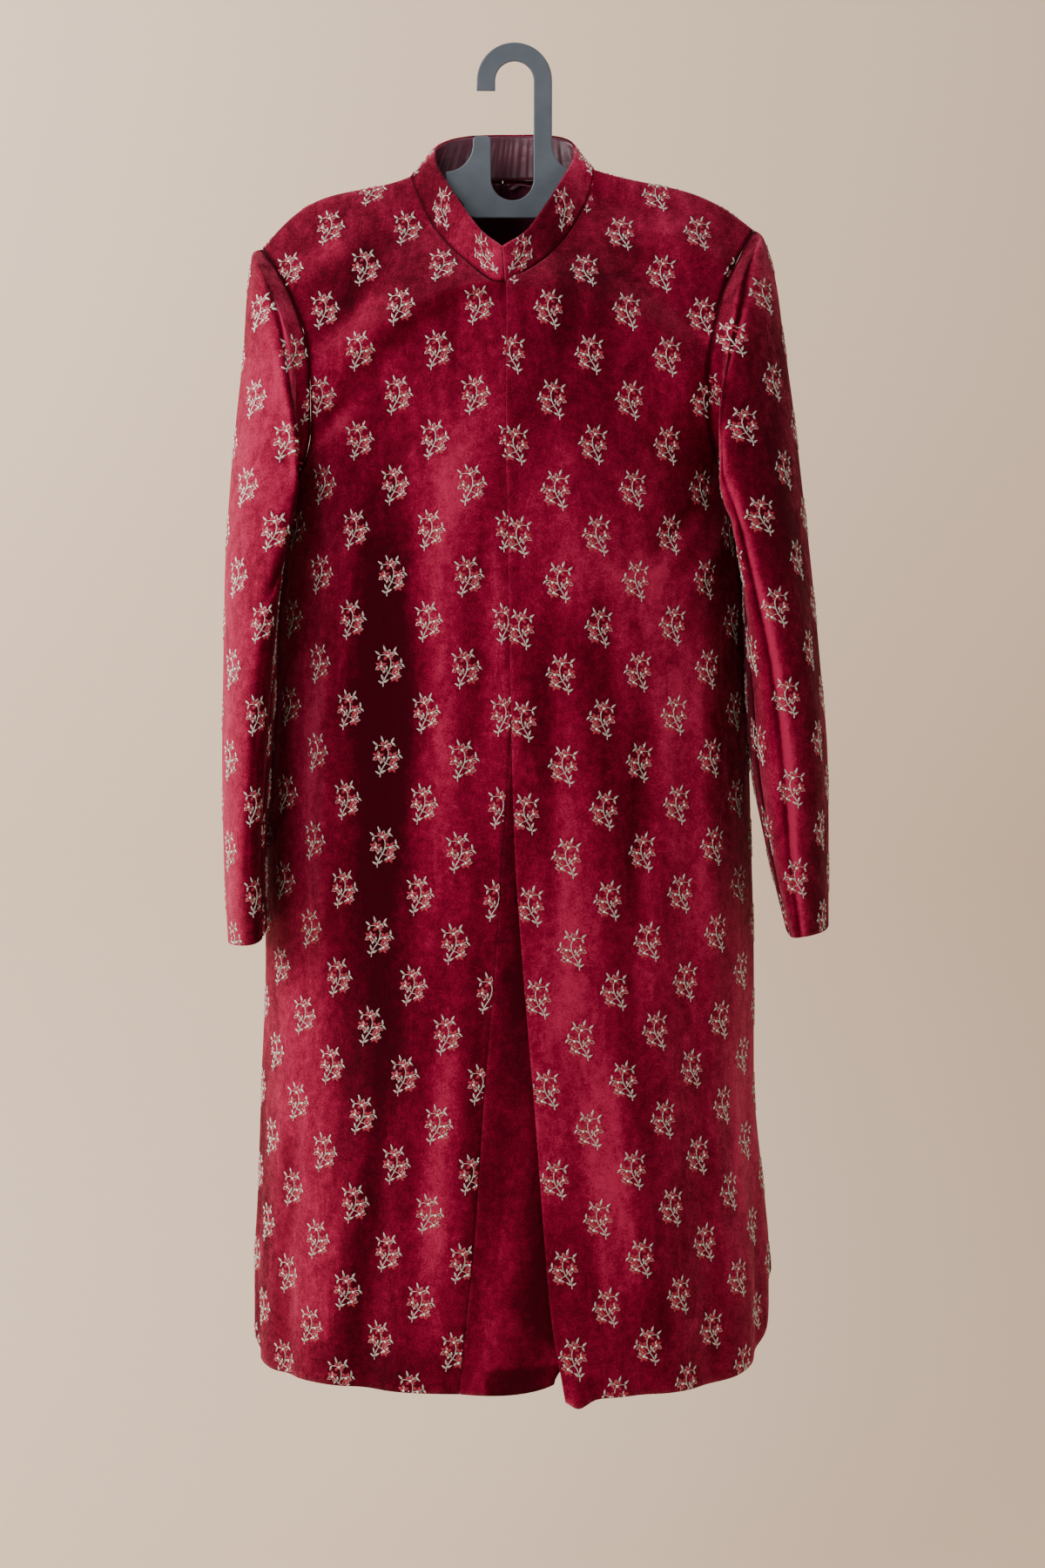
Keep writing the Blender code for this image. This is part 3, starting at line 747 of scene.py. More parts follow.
def lap_point(s, row):
    """A point of the under lap, s of its width from the under front's edge."""
    seam = hermite(UNDER_FRONT_EDGE, row)
    edge = hermite(OVER_FRONT_EDGE, row)
    side = hermite(ARMHOLE_FRONT_RIGHT + SIDE_RIGHT, row)
    x = seam[..., 0] + LAP_WIDTH * s
    beyond = np.clip((x - edge[..., 0]) / (side[..., 0] - edge[..., 0]), 0, 1)
    y = seam[..., 1] * np.sqrt(1 - beyond**2)
    return np.stack([x, y, seam[..., 2]], axis=-1)


def sleeve(front_armhole, back_armhole, underarm, rings, side):
    """A function from (armhole row, place down the sleeve) to a point of one sleeve.

    Armhole rows run from the shoulder tip down the front to the underarm and up the back.
    """
    loop = np.asarray(list(front_armhole) + [underarm] + list(reversed(back_armhole)), float)
    steps = np.linalg.norm(np.diff(loop, axis=0), axis=1)
    run = np.concatenate([[0], np.cumsum(steps)])
    under = run[len(front_armhole)]
    angles = np.where(run <= under, 180 * run / under, 180 + 180 * (run - under) / (run[-1] - under))
    rows = np.arange(len(loop), dtype=float)

    def ring_point(ring, row):
        out_x, out_z, in_x, in_z, mid_y, half, front_in, back_in = ring
        turn = np.radians(np.interp(row, rows, angles))
        lean = np.where(np.sin(turn) > 0, front_in, back_in) * np.sin(turn) ** 2
        x = (out_x + in_x) / 2 + (out_x - in_x) / 2 * np.cos(turn) - side * lean
        y = mid_y - half * np.sin(turn)
        z = (out_z + in_z) / 2 + (out_z - in_z) / 2 * np.cos(turn)
        return np.stack([x, y, z], axis=-1)

    def point(row, place):
        """row is one line of armhole rows and place is one line of places: it returns a whole grid."""
        row = np.mod(row, len(loop) - 1)
        table = np.stack([hermite(loop, row)] + [ring_point(ring, row) for ring in rings])
        return hermite(table, place)

    return point


def run_share(points):
    """How far along a run of points each one is, from 0 to 1."""
    steps = np.linalg.norm(np.diff(np.asarray(points, float), axis=0), axis=1)
    run = np.concatenate([[0], np.cumsum(steps)])
    return run / run[-1]


def collar_base():
    """The neckline from its left end at the closing round the back to its right end."""
    base = tuple(reversed(UNDER_FRONT_EDGE[: NECK_POINT_ROW + 1]))
    base = (CLOSING_LEFT,) + base + BACK_EDGE_LEFT[1:NECK_ROWS]
    base += tuple(reversed(BACK_EDGE_RIGHT[1 : NECK_ROWS - 1]))
    return base + OVER_FRONT_EDGE[: NECK_POINT_ROW + 1] + (CLOSING_RIGHT,)


def collar_point(s, down):
    """A point of the collar, s rows along its base and a share down from its top edge."""
    base = collar_base()
    base_share = run_share(base)
    top_share = run_share(COLLAR_TOP)
    low = hermite(base, s) + np.array([0, 0, COLLAR_GAP])
    share = np.interp(s, np.arange(len(base), dtype=float), base_share)
    top_rows = np.arange(len(COLLAR_TOP), dtype=float)
    high = hermite(COLLAR_TOP, np.interp(share, top_share, top_rows))
    return high + (low - high) * down[..., None]


# Cloth grids


def grid_normals(points):
    """Unit normals of a grid of points, from its steps along and down."""
    along = np.gradient(points, axis=1)
    down = np.gradient(points, axis=0)
    return unit(np.cross(along, down))


def flat_places(points, normals, grain):
    """The flat cut of a grid: (across, up) of each point, by least squares along the grain.

    grain is the direction of the cloth's down at each point. The steps of the flat cut are the steps
    of the cloth, measured along and across the grain.
    """
    grain = unit(grain - normals * np.sum(grain * normals, axis=-1, keepdims=True))
    right = np.cross(normals, grain)
    steps = (np.diff(points, axis=1), np.diff(points, axis=0))
    weights = [1 / (np.linalg.norm(step, axis=-1) + 1e-6) for step in steps]

    def middle(field, axis):
        low = field[:, :-1] if axis else field[:-1]
        high = field[:, 1:] if axis else field[1:]
        return (low + high) / 2

    def gather(pulls):
        total = np.zeros(points.shape[:2])
        total[:, 1:] += pulls[0]
        total[:, :-1] -= pulls[0]
        total[1:] += pulls[1]
        total[:-1] -= pulls[1]
        return total

    def apply(field):
        slopes = (np.diff(field, axis=1), np.diff(field, axis=0))
        return gather([slope * weight for slope, weight in zip(slopes, weights)])

    found = []
    for direction in (right, -grain):
        wanted = [
            np.sum(step * middle(direction, axis), axis=-1)
            for step, axis in zip(steps, (1, 0))
        ]
        target = gather([want * weight for want, weight in zip(wanted, weights)])
        first_column = np.concatenate([[0], np.cumsum(wanted[1][:, 0])])
        field = np.pad(np.cumsum(wanted[0], axis=1), ((0, 0), (1, 0))) + first_column[:, None]
        rest = target - apply(field)
        pull = rest.copy()
        power = np.sum(rest * rest)
        for _ in range(FLAT_ROUNDS):
            if power < FLAT_ERROR:
                break
            pushed = apply(pull)
            length = power / np.sum(pull * pushed)
            field += length * pull
            rest -= length * pushed
            fresh = np.sum(rest * rest)
            pull = rest + pull * fresh / power
            power = fresh
        found.append(field)
    return np.stack(found, axis=-1)


def band_places(points):
    """The flat cut of a curved band, laid straight: (along, up) from its middle."""
    along = np.linalg.norm(np.diff(points, axis=1), axis=-1)
    down = np.linalg.norm(np.diff(points, axis=0), axis=-1)
    run = np.concatenate([[0], np.cumsum(along[len(along) // 2])])
    fall = np.pad(np.cumsum(down, axis=0), ((1, 0), (0, 0)))
    return np.stack([run - run[-1] / 2 + np.zeros_like(fall), fall[-1:] / 2 - fall], axis=-1)


def body_grain(points, normals, side, facing, rows):
    """Down along the cloth: over the shoulder, straight down the body, and outward in the skirt."""
    over = -facing * np.cross(np.array([1.0, 0, 0]), normals)
    grain = over + np.array([0, 0, -1.0])
    tilt = GRAIN_TILT + SKIRT_TILT * smooth_step(WAIST_ROW, SLIT_ROW, rows)
    outward = np.zeros_like(points)
    outward[..., 0] = side * tilt[:, None]
    return unit(grain) + outward


def creases_on(x, z, table):
    """The height of listed creases at each (x, z)."""
    total = np.zeros_like(x)
    for x0, z0, x1, z1, width, depth in table:
        run = np.array([x1 - x0, z1 - z0], float)
        length = np.linalg.norm(run)
        along = ((x - x0) * run[0] + (z - z0) * run[1]) / length**2
        aside = ((x - x0) * run[1] - (z - z0) * run[0]) / length
        bend = 0.18 * width * np.sin(along * 5.0 + x0)
        fade = smooth_step(-0.12, 0.3, along) * smooth_step(1.12, 0.6, along)
        total += depth * fade * np.exp(-(((aside + bend) / width) ** 2))
    return total


def patches_on(x, z, table):
    """The pile tone of listed patches, brushed pile and painted light and shade, at each (x, z)."""
    total = np.zeros_like(x)
    for x0, z0, half_width, half_height, tone in table:
        total += tone * np.exp(-(((x - x0) / half_width) ** 2) - ((z - z0) / half_height) ** 2)
    return total


def painted_crease_light(points, smooth_normals, sign):
    """Painted light and shade of creased cloth: paler where a crease tips it up or to the left, towards the
    lamps.
    """
    tipped = grid_normals(points) * sign - smooth_normals
    return PAINTED_LIGHT_LEFT * -tipped[..., 0] + PAINTED_LIGHT_UP * tipped[..., 2]


def seam_nearness(points, edges):
    """How near each point is to the sewn edges, from 1 at an edge to 0 a few millimetres away."""
    across = np.linalg.norm(np.diff(points, axis=1), axis=-1)
    down = np.linalg.norm(np.diff(points, axis=0), axis=-1)
    from_first = np.pad(np.cumsum(across, axis=1), ((0, 0), (1, 0)))
    from_top = np.pad(np.cumsum(down, axis=0), ((1, 0), (0, 0)))
    distance = {
        "first": from_first,
        "last": from_first[:, -1:] - from_first,
        "top": from_top,
        "bottom": from_top[-1:] - from_top,
    }
    nearest = np.min([distance[edge] for edge in edges], axis=0)
    return np.exp(-((nearest / SEAM_ROLL_WIDTH) ** 2))


def fine_ends(cells, finer=0.55):
    """Shares from 0 to 1, closer together at both ends."""
    t = np.linspace(0, 1, cells + 1)
    return (1 - finer) * t + finer * t * t * (3 - 2 * t)


def cloth_piece(name, points, normals, flat, pile_and_painted_light, wall, made):
    """A grid of points as an open sheet with its flat cut, its pile tone, which also carries painted light
    and shade, and its outward direction.
    """
    rows, columns = points.shape[:2]
    form = bmesh.new()
    bmesh.ops.create_grid(form, x_segments=columns - 1, y_segments=rows - 1, size=1.0)
    column = np.array([round((vertex.co.x + 1) / 2 * (columns - 1)) for vertex in form.verts])
    row = np.array([round((1 - vertex.co.y) / 2 * (rows - 1)) for vertex in form.verts])
    for vertex, place in zip(form.verts, points[row, column]):
        vertex.co = place * MM
    form.normal_update()
    form.verts.ensure_lookup_table()
    middle = len(form.verts) // 2
    if np.dot(np.array(form.verts[middle].normal), normals[row[middle], column[middle]]) < 0:
        bmesh.ops.reverse_faces(form, faces=form.faces)
    mesh = bpy.data.meshes.new(name)
    form.to_mesh(mesh)
    form.free()
    mesh.shade_smooth()
    corners = np.empty(len(mesh.loops), np.int32)
    mesh.loops.foreach_get("vertex_index", corners)
    layer = mesh.uv_layers.new(name="flat")
    layer.data.foreach_set("uv", (flat[row, column] * MM)[corners].astype(np.float32).ravel())
    tone = mesh.attributes.new("pile_and_painted_light", "FLOAT", "POINT")
    tone.data.foreach_set("value", pile_and_painted_light[row, column].astype(np.float32))
    facing = mesh.attributes.new("facing", "FLOAT_VECTOR", "POINT")
    facing.data.foreach_set("vector", normals[row, column].astype(np.float32).ravel())
    mesh.materials.append(made)
    piece = add_object(name, mesh)
    piece["wall"] = wall
    return piece


def flat_size(piece):
    """(width, length, area) of the piece's flat cut, in metres."""
    mesh = piece.data
    places = np.empty(len(mesh.loops) * 2, np.float32)
    mesh.uv_layers["flat"].data.foreach_get("uv", places)
    places = places.reshape(-1, 4, 2).astype(float)
    first, second = places[:, 2] - places[:, 0], places[:, 3] - places[:, 1]
    area = np.abs(first[:, 0] * second[:, 1] - first[:, 1] * second[:, 0]).sum() / 2
    width, length = np.ptp(places.reshape(-1, 2), axis=0)
    return round(float(width), 3), round(float(length), 3), round(float(area), 4)


def finish_cloth(piece, node, with_pieces=()):
    """Gives the sheet its wall, hangs it and its extra pieces on the root, hides the CAD part it stands for
    and prints its flat cut.
    """
    width, length, area = flat_size(piece)
    solid = piece.modifiers.new("wall", "SOLIDIFY")
    solid.thickness = piece["wall"] * MM
    solid.offset = -1
    del piece["wall"]
    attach(piece, "root")
    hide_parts(node)
    for extra in with_pieces:
        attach(extra, "root")
    print(f"flat cut of {node}: {width} x {length} m, {area} m2")


# The embroidered sprig


def leaf(form, layer, thread, root, turn, length, width, height):
    """A pointed, raised leaf from its root, as satin stitch fills it."""
    cos, sin = math.cos(turn), math.sin(turn)

    def corner(along, aside, up):
        along, aside = along * length, aside * width
        place = (root[0] + along * cos - aside * sin, root[1] + along * sin + aside * cos)
        return form.verts.new((*place, up))

    rim = [corner(along, aside, 0) for along, aside in LEAF_OUTLINE]
    low, high = [corner(along, 0, height) for along in LEAF_RIDGE]
    faces = (
        (rim[0], low, rim[1]),
        (rim[1], low, high, rim[2]),
        (rim[2], high, rim[3]),
        (rim[3], high, rim[4]),
        (rim[4], high, low, rim[5]),
        (rim[5], low, rim[0]),
    )
    for corners in faces:
        form.faces.new(corners)[layer] = thread


def stem(form, layer, thread, points, width, height):
    """A raised cord that follows a few points."""
    points = np.asarray(points, float)
    run = unit(np.gradient(points, axis=0))
    aside = np.stack([-run[:, 1], run[:, 0]], axis=1) * width / 2
    rows = []
    for place, step in zip(points, aside):
        section = ((*(place - step), 0), (*place, height), (*(place + step), 0))
        rows.append([form.verts.new(corner) for corner in section])
    for first, second in zip(rows, rows[1:]):
        for k in range(2):
            form.faces.new((first[k], first[k + 1], second[k + 1], second[k]))[layer] = thread


def bead(form, layer, thread, x, y):
    """A small domed bead."""
    rim = []
    for k in range(BEAD_SIDES):
        turn = math.tau * k / BEAD_SIDES
        place = (x + BEAD_RADIUS * math.cos(turn), y + BEAD_RADIUS * math.sin(turn))
        rim.append(form.verts.new((*place, BEAD_HEIGHT * BEAD_RIM_SHARE)))
    top = form.verts.new((x, y, BEAD_HEIGHT))
    for first, second in zip(rim, rim[1:] + rim[:1]):
        form.faces.new((first, second, top))[layer] = thread


def sprig(name, side, materials):
    """The sprig, one small mesh. side is 1, or -1 for the mirrored one."""
    form = bmesh.new()
    layer = form.faces.layers.int.new("thread")
    stem(form, layer, ZARI, SPRIG_STEM, STEM_WIDTH, STEM_HEIGHT)
    for x0, y0, x1, y1 in SPRIG_TWIGS:
        bow = ((x0 + x1) / 2 + TWIG_BOW[0], (y0 + y1) / 2 + TWIG_BOW[1])
        stem(form, layer, ZARI, ((x0, y0), bow, (x1, y1)), TWIG_WIDTH, TWIG_HEIGHT)
    for x, y, turn, length in SPRIG_LEAVES:
        leaf(form, layer, ZARI, (x, y), math.radians(turn), length, LEAF_WIDTH, LEAF_HEIGHT)
    for x, y, turns in SPRIG_FLOWERS:
        for k, turn in enumerate(turns):
            turn = math.radians(turn)
            root = (x + PETAL_ROOT * math.cos(turn), y + PETAL_ROOT * math.sin(turn))
            leaf(form, layer, SILK, root, turn, PETAL_LENGTH, PETAL_WIDTH, PETAL_HEIGHT)
            if k % 3 == 1:
                leaf(form, layer, ZARI, root, turn, PETAL_LENGTH + RIM, PETAL_WIDTH + 2 * RIM, RIM_HEIGHT)
        bead(form, layer, PEARL, x, y)
    for vertex in form.verts:
        vertex.co = (vertex.co.x * side * MM, vertex.co.y * MM, vertex.co.z * MM)
    if side < 0:
        bmesh.ops.reverse_faces(form, faces=form.faces)
    mesh = bpy.data.meshes.new(name)
    form.to_mesh(mesh)
    form.free()
    for made in materials:
        mesh.materials.append(made)
    drawn = add_object(name, mesh)
    drawn.hide_render = True
    return drawn


# Nodes, for materials and for Geometry Nodes


def fill_inputs(tree, node, inputs):
    """Sets each named or numbered input of a node to a value, or links it to another node's output."""
    for socket, value in inputs.items():
        if isinstance(value, bpy.types.NodeSocket):
            tree.links.new(value, node.inputs[socket])
        else:
            node.inputs[socket].default_value = value


def node_adder(tree):
    """A function that adds a node of a kind to the tree, with its settings and its inputs filled."""

    def add(kind, inputs=None, **settings):
        made = tree.nodes.new(kind)
        for key, value in settings.items():
            setattr(made, key, value)
        fill_inputs(tree, made, inputs or {})
        return made

    return add


def calculate(add, operation, *values):
    return add("ShaderNodeMath", dict(enumerate(values)), operation=operation).outputs[0]


def weighted_sum(add, fields):
    """The sum of (field, share) pairs."""
    total = 0.0
    for field, share in fields:
        total = calculate(add, "ADD", total, calculate(add, "MULTIPLY", field, share))
    return total


def embroidery_tree(materials):
    """Geometry Nodes: sprigs in half-drop columns on the flat cut, laid on the cloth up to its edge."""
    tree = bpy.data.node_groups.new("embroidery", "GeometryNodeTree")
    tree.interface.new_socket("Geometry", in_out="INPUT", socket_type="NodeSocketGeometry")
    for kind, names in (
        ("NodeSocketObject", ("Cloth", "Sprig")),
        ("NodeSocketInt", ("Columns", "Rows")),
        ("NodeSocketFloat", ("Column step", "Row step", "First across", "First up", "Turn")),
    ):
        for name in names:
            tree.interface.new_socket(name, in_out="INPUT", socket_type=kind)
    tree.interface.new_socket("Geometry", in_out="OUTPUT", socket_type="NodeSocketGeometry")
    add = node_adder(tree)

    def named(kind, name):
        return add("GeometryNodeInputNamedAttribute", {"Name": name}, data_type=kind).outputs["Attribute"]

    # One point for each sprig of the lattice, on the flat cut
    given = add("NodeGroupInput").outputs
    count = calculate(add, "MULTIPLY", given["Columns"], given["Rows"])
    points = add("GeometryNodePoints", {"Count": count})
    index = add("GeometryNodeInputIndex").outputs[0]
    column = calculate(add, "FLOORED_MODULO", index, given["Columns"])
    row = calculate(add, "FLOOR", calculate(add, "DIVIDE", index, given["Columns"]))
    odd = calculate(add, "FLOORED_MODULO", column, 2)
    drop = calculate(add, "MULTIPLY", calculate(add, "MULTIPLY", odd, 0.5), given["Row step"])
    along = calculate(add, "MULTIPLY", column, given["Column step"])
    across = calculate(add, "ADD", given["First across"], along)
    fall = calculate(add, "ADD", calculate(add, "MULTIPLY", row, given["Row step"]), drop)
    up = calculate(add, "SUBTRACT", given["First up"], fall)
    spot = add("ShaderNodeCombineXYZ", {0: across, 1: up})
    placed = add("GeometryNodeSetPosition", {"Geometry": points.outputs[0], "Position": spot.outputs[0]})

    # A sprig on each point, a little turned
    shape = add("GeometryNodeObjectInfo", {"Object": given["Sprig"]}).outputs["Geometry"]
    span = {"Min": -SPRIG_LEAN, "Max": SPRIG_LEAN, "Seed": LEAN_SEED}
    lean = add("FunctionNodeRandomValue", span, data_type="FLOAT").outputs["Value"]
    turn = add("ShaderNodeCombineXYZ", {2: calculate(add, "ADD", given["Turn"], lean)})
    spread_inputs = {"Points": placed.outputs[0], "Instance": shape, "Rotation": turn.outputs[0]}
    spread = add("GeometryNodeInstanceOnPoints", spread_inputs)
    realized = add("GeometryNodeRealizeInstances", {0: spread.outputs[0]})

    # The place on the cloth that has each vertex's place in its flat cut
    cloth = add("GeometryNodeObjectInfo", {"Object": given["Cloth"]}).outputs["Geometry"]
    flat = named("FLOAT_VECTOR", "flat")
    here = add("GeometryNodeInputPosition").outputs[0]

    def on_surface(value):
        inputs = {"Mesh": cloth, "Value": value, "UV Map": flat, "Sample UV": here}
        return add("GeometryNodeSampleUVSurface", inputs, data_type="FLOAT_VECTOR")

    found = on_surface(here)
    facing = on_surface(named("FLOAT_VECTOR", "facing"))
    height = add("ShaderNodeSeparateXYZ", {0: here}).outputs[2]
    lift_inputs = {0: facing.outputs["Value"], "Scale": height}
    lift = add("ShaderNodeVectorMath", lift_inputs, operation="SCALE")
    total = add("ShaderNodeVectorMath", {0: found.outputs["Value"], 1: lift.outputs[0]}, operation="ADD")

    # Stored before the points move, because a field is read anew at each node
    kept_inputs = {"Name": "on cloth", "Geometry": realized.outputs[0], "Value": found.outputs["Is Valid"]}
    kept = add("GeometryNodeStoreNamedAttribute", kept_inputs, data_type="BOOLEAN", domain="POINT")
    laid = add("GeometryNodeSetPosition", {"Geometry": kept.outputs[0], "Position": total.outputs[0]})
    off_cloth = add("FunctionNodeBooleanMath", {0: named("BOOLEAN", "on cloth")}, operation="NOT")
    cut_inputs = {"Geometry": laid.outputs[0], "Selection": off_cloth.outputs[0]}
    cut = add("GeometryNodeDeleteGeometry", cut_inputs, domain="POINT")
    last = add("GeometryNodeSetShadeSmooth", {0: cut.outputs[0]}).outputs[0]
    thread = named("INT", "thread")
    for kind, made in enumerate(materials):
        same = add("FunctionNodeCompare", {"A": thread, "B": kind}, data_type="INT", operation="EQUAL")
        painted_inputs = {"Geometry": last, "Selection": same.outputs[0], "Material": made}
        last = add("GeometryNodeSetMaterial", painted_inputs).outputs[0]
    add("NodeGroupOutput", {0: last})
    return tree


def embroider(name, cloth, tree, drawn, first, lattice, turn=0.0, steps=(COLUMN_STEP, ROW_STEP)):
    """The embroidery of one piece, as a plain mesh. first is (across, up) of the first sprig, in mm."""
    blank = add_object(name, bpy.data.meshes.new(name))
    maker = blank.modifiers.new("embroidery", "NODES")
    maker.node_group = tree
    names = {item.name: item.identifier for item in tree.interface.items_tree if item.in_out == "INPUT"}
    values = {
        "Cloth": cloth,
        "Sprig": drawn,
        "Columns": lattice[0],
        "Rows": lattice[1],
        "Column step": steps[0] * MM,
        "Row step": steps[1] * MM,
        "First across": first[0] * MM,
        "First up": first[1] * MM,
        "Turn": turn,
    }
    for key, value in values.items():
        maker[names[key]] = value
    graph = bpy.context.evaluated_depsgraph_get()
    graph.update()
    mesh = bpy.data.meshes.new_from_object(blank.evaluated_get(graph), depsgraph=graph)
    mesh.name = name
    bpy.data.objects.remove(blank, do_unlink=True)
    print(f"{name}: {len(mesh.polygons)} faces")
    return add_object(name, mesh)


# Materials


def new_material(name):
    """A material, a function that adds a node to it, and its place on the piece."""
    made = bpy.data.materials.new(name)
    made.use_nodes = True
    add = node_adder(made.node_tree)
    return made, add, add("ShaderNodeTexCoord").outputs["Object"]


def set_shader(made, inputs):
    fill_inputs(made.node_tree, made.node_tree.nodes["Principled BSDF"], inputs)


def noise(add, place, scale, detail=3.0, roughness=0.55, distortion=0.0):
    inputs = {"Scale": scale, "Detail": detail, "Roughness": roughness, "Distortion": distortion}
    return add("ShaderNodeTexNoise", {"Vector": place, **inputs}).outputs["Fac"]


def ramp(add, value, stops):
    """The colour of a value, between (place, colour) stops."""
    made = add("ShaderNodeValToRGB", {"Fac": value})
    elements = made.color_ramp.elements
    while len(elements) < len(stops):
        elements.new(0.5)
    for element, (place, colour) in zip(elements, stops):
        element.position = place
        element.color = (*colour, 1)
    return made.outputs["Color"]


def bump(add, height, strength, distance=1.0):
    inputs = {"Strength": strength, "Distance": distance, "Height": height}
    return add("ShaderNodeBump", inputs).outputs["Normal"]


def crimson_velvet():
    """Pile that shows dark or pale as it lies, with crushed patches and a fine pile. Its tone also carries
    each piece's painted light and shade.
    """
    made, add, place = new_material("crimson_velvet_pile")
    stretched = add("ShaderNodeMapping", {"Scale": (1.0, 1.0, 0.35), "Vector": place}).outputs[0]
    broad = noise(add, stretched, 9.0, distortion=0.5)
    crushed = noise(add, stretched, 46.0, detail=5.0, roughness=0.62, distortion=0.9)
    patchy = noise(add, place, 130.0, distortion=0.4)
    speckle = noise(add, place, 620.0, detail=2.0)
    pile = noise(add, place, 1700.0, detail=1.0)
    pile_and_painted_light = add("ShaderNodeAttribute", attribute_name="pile_and_painted_light").outputs["Fac"]
    shares = ((broad, 0.50), (crushed, 0.42), (patchy, 0.34), (speckle, 0.40), (pile, 0.34))
    centred = [(calculate(add, "SUBTRACT", field, 0.5), share) for field, share in shares]
    tone = calculate(add, "ADD", weighted_sum(add, [(pile_and_painted_light, 0.27), *centred]), 0.5)
    stops = (
        (0.22, (0.036, 0.0002, 0.0040)),
        (0.42, (0.105, 0.0010, 0.0110)),
        (0.58, (0.205, 0.0030, 0.0260)),
        (0.80, (0.400, 0.0180, 0.0700)),
    )
    # The sheen is made stronger where the tone is pale, so it follows the painted light as well
    lit = calculate(add, "MULTIPLY", calculate(add, "SUBTRACT", tone, 0.30), 2.4)
    height = weighted_sum(add, ((pile, 0.0007), (speckle, 0.0009), (crushed, 0.0030)))
    look = {
        "Base Color": ramp(add, tone, stops),
        "Roughness": 0.85,
        "Specular IOR Level": 0.10,
        "Specular Tint": (1.0, 0.25, 0.35, 1),
        "Sheen Weight": calculate(add, "MAXIMUM", lit, 0.08),
        "Sheen Roughness": 0.42,
        "Sheen Tint": (1.0, 0.20, 0.32, 1),
        "Normal": bump(add, height, 0.7),
    }
    set_shader(made, look)
    return made


def plum_satin():
    """A smooth lining with a fine weave and small wrinkles."""
    made, add, place = new_material("plum_satin_weave")
    soft = noise(add, place, 26.0, distortion=0.6)
    weave = noise(add, place, 1600.0, detail=1.0)
    stops = ((0.30, (0.040, 0.004, 0.014)), (0.55, (0.085, 0.010, 0.030)), (0.75, (0.135, 0.022, 0.050)))
    look = {
        "Base Color": ramp(add, soft, stops),
        "Roughness": 0.38,
        "Specular IOR Level": 0.5,
        "Sheen Weight": 0.25,
        "Sheen Tint": (0.8, 0.45, 0.6, 1),
        "Normal": bump(add, weighted_sum(add, ((weave, 0.0001), (soft, 0.0025))), 0.6),
    }
    set_shader(made, look)
    return made


def thread_material(name, dark, pale, roughness, metallic=0.0):
    """Embroidery thread: fine strands that run pale and dark."""
    made, add, place = new_material(name)
    strand = noise(add, place, 1900.0, detail=1.0, distortion=0.3)
    look = {
        "Base Color": ramp(add, strand, ((0.35, dark), (0.62, pale))),
        "Roughness": roughness,
        "Metallic": metallic,
        "Normal": bump(add, strand, 0.5, 0.0004),
    }
    set_shader(made, look)
    return made


def slate_plastic():
    """Matt moulded plastic with faint mottling and a fine grain."""
    made, add, place = new_material("slate_plastic_moulded")
    mottle = noise(add, place, 30.0, detail=4.0)
    grain = noise(add, place, 900.0, detail=2.0)
    stops = ((0.30, (0.062, 0.080, 0.104)), (0.70, (0.092, 0.114, 0.142)))
    look = {
        "Base Color": ramp(add, mottle, stops),
        "Roughness": 0.48,
        "Specular IOR Level": 0.45,
        "Normal": bump(add, grain, 0.15, 0.0003),
    }
    set_shader(made, look)
    return made


# The pieces


def make_panel(node, form, side, facing, creases, patches, edges, looks):
    """One front or half of the back, with its creases, its sewn edges and its embroidery."""
    velvet, tree, sprigs = looks
    across = 1 - (1 - fine_ends(BODY_CELLS[0])) ** 1.15
    rows = fine_ends(BODY_CELLS[1], 0.12) * LAST_ROW
    s, row = np.meshgrid(across, rows)
    points = form(s, row)
    outward = facing * side
    normals = grid_normals(points) * outward
    flat = flat_places(points, normals, body_grain(points, normals, side, facing, rows))
    anchor = np.abs(rows - CHEST_ROW).argmin()
    flat += np.array([-facing * points[anchor, 0, 0], points[anchor, 0, 2]]) - flat[anchor, 0]

    sewn_in = seam_nearness(points, edges)
    height = creases_on(points[..., 0], points[..., 2], creases)
    height *= (1 - sewn_in) * smooth_step(0, 1.5, row)
    sunk = sewn_in * smooth_step(UNDERARM_ROW, UNDERARM_ROW + 0.4, row)
    if "first" in edges:
        sunk = np.maximum(sunk, seam_nearness(points, ("first",)))
    height -= SEAM_ROLL * sunk
    points = points + normals * height[..., None]
    if node == "front_over":
        away = np.linalg.norm(points - points[:, :1], axis=-1)
        near = np.exp(-(((away - CORNER_MIDDLE) / CORNER_SPREAD) ** 2))
        tip = near * smooth_step(LAST_ROW - 0.5, LAST_ROW, row)
        points += tip[..., None] * np.array([0, -CORNER_CURL, -CORNER_DROP])
    if "first" in edges:
        points[:, 0] += unit(points[:, 1] - points[:, 0]) * SEAM_GAP / 2
    points[:, -1] += unit(points[:, -2] - points[:, -1]) * SEAM_GAP / 2
    points[0] += unit(points[1] - points[0]) * SEAM_GAP / 2

    # Pile tone: brushed patches with painted highlights and shadow, painted light from the creases' slope
    # and painted shade along the seams
    pile_and_painted_light = patches_on(points[..., 0], points[..., 2], patches)
    pile_and_painted_light += painted_crease_light(points, normals, outward) - SEAM_PAINTED_SHADE * sewn_in
    piece = cloth_piece(f"cloth_{node}", points, grid_normals(points) * outward, flat, pile_and_painted_light, VELVET, velvet)
    first = FIRST_SPRIG[node]
    start = (first[0] - COLUMNS_BEFORE * COLUMN_STEP, first[1] + ROWS_ABOVE * ROW_STEP)
    work = embroider(f"sprigs_{node}", piece, tree, sprigs[side * -facing], start, BODY_LATTICE)
    finish_cloth(piece, node, [work])


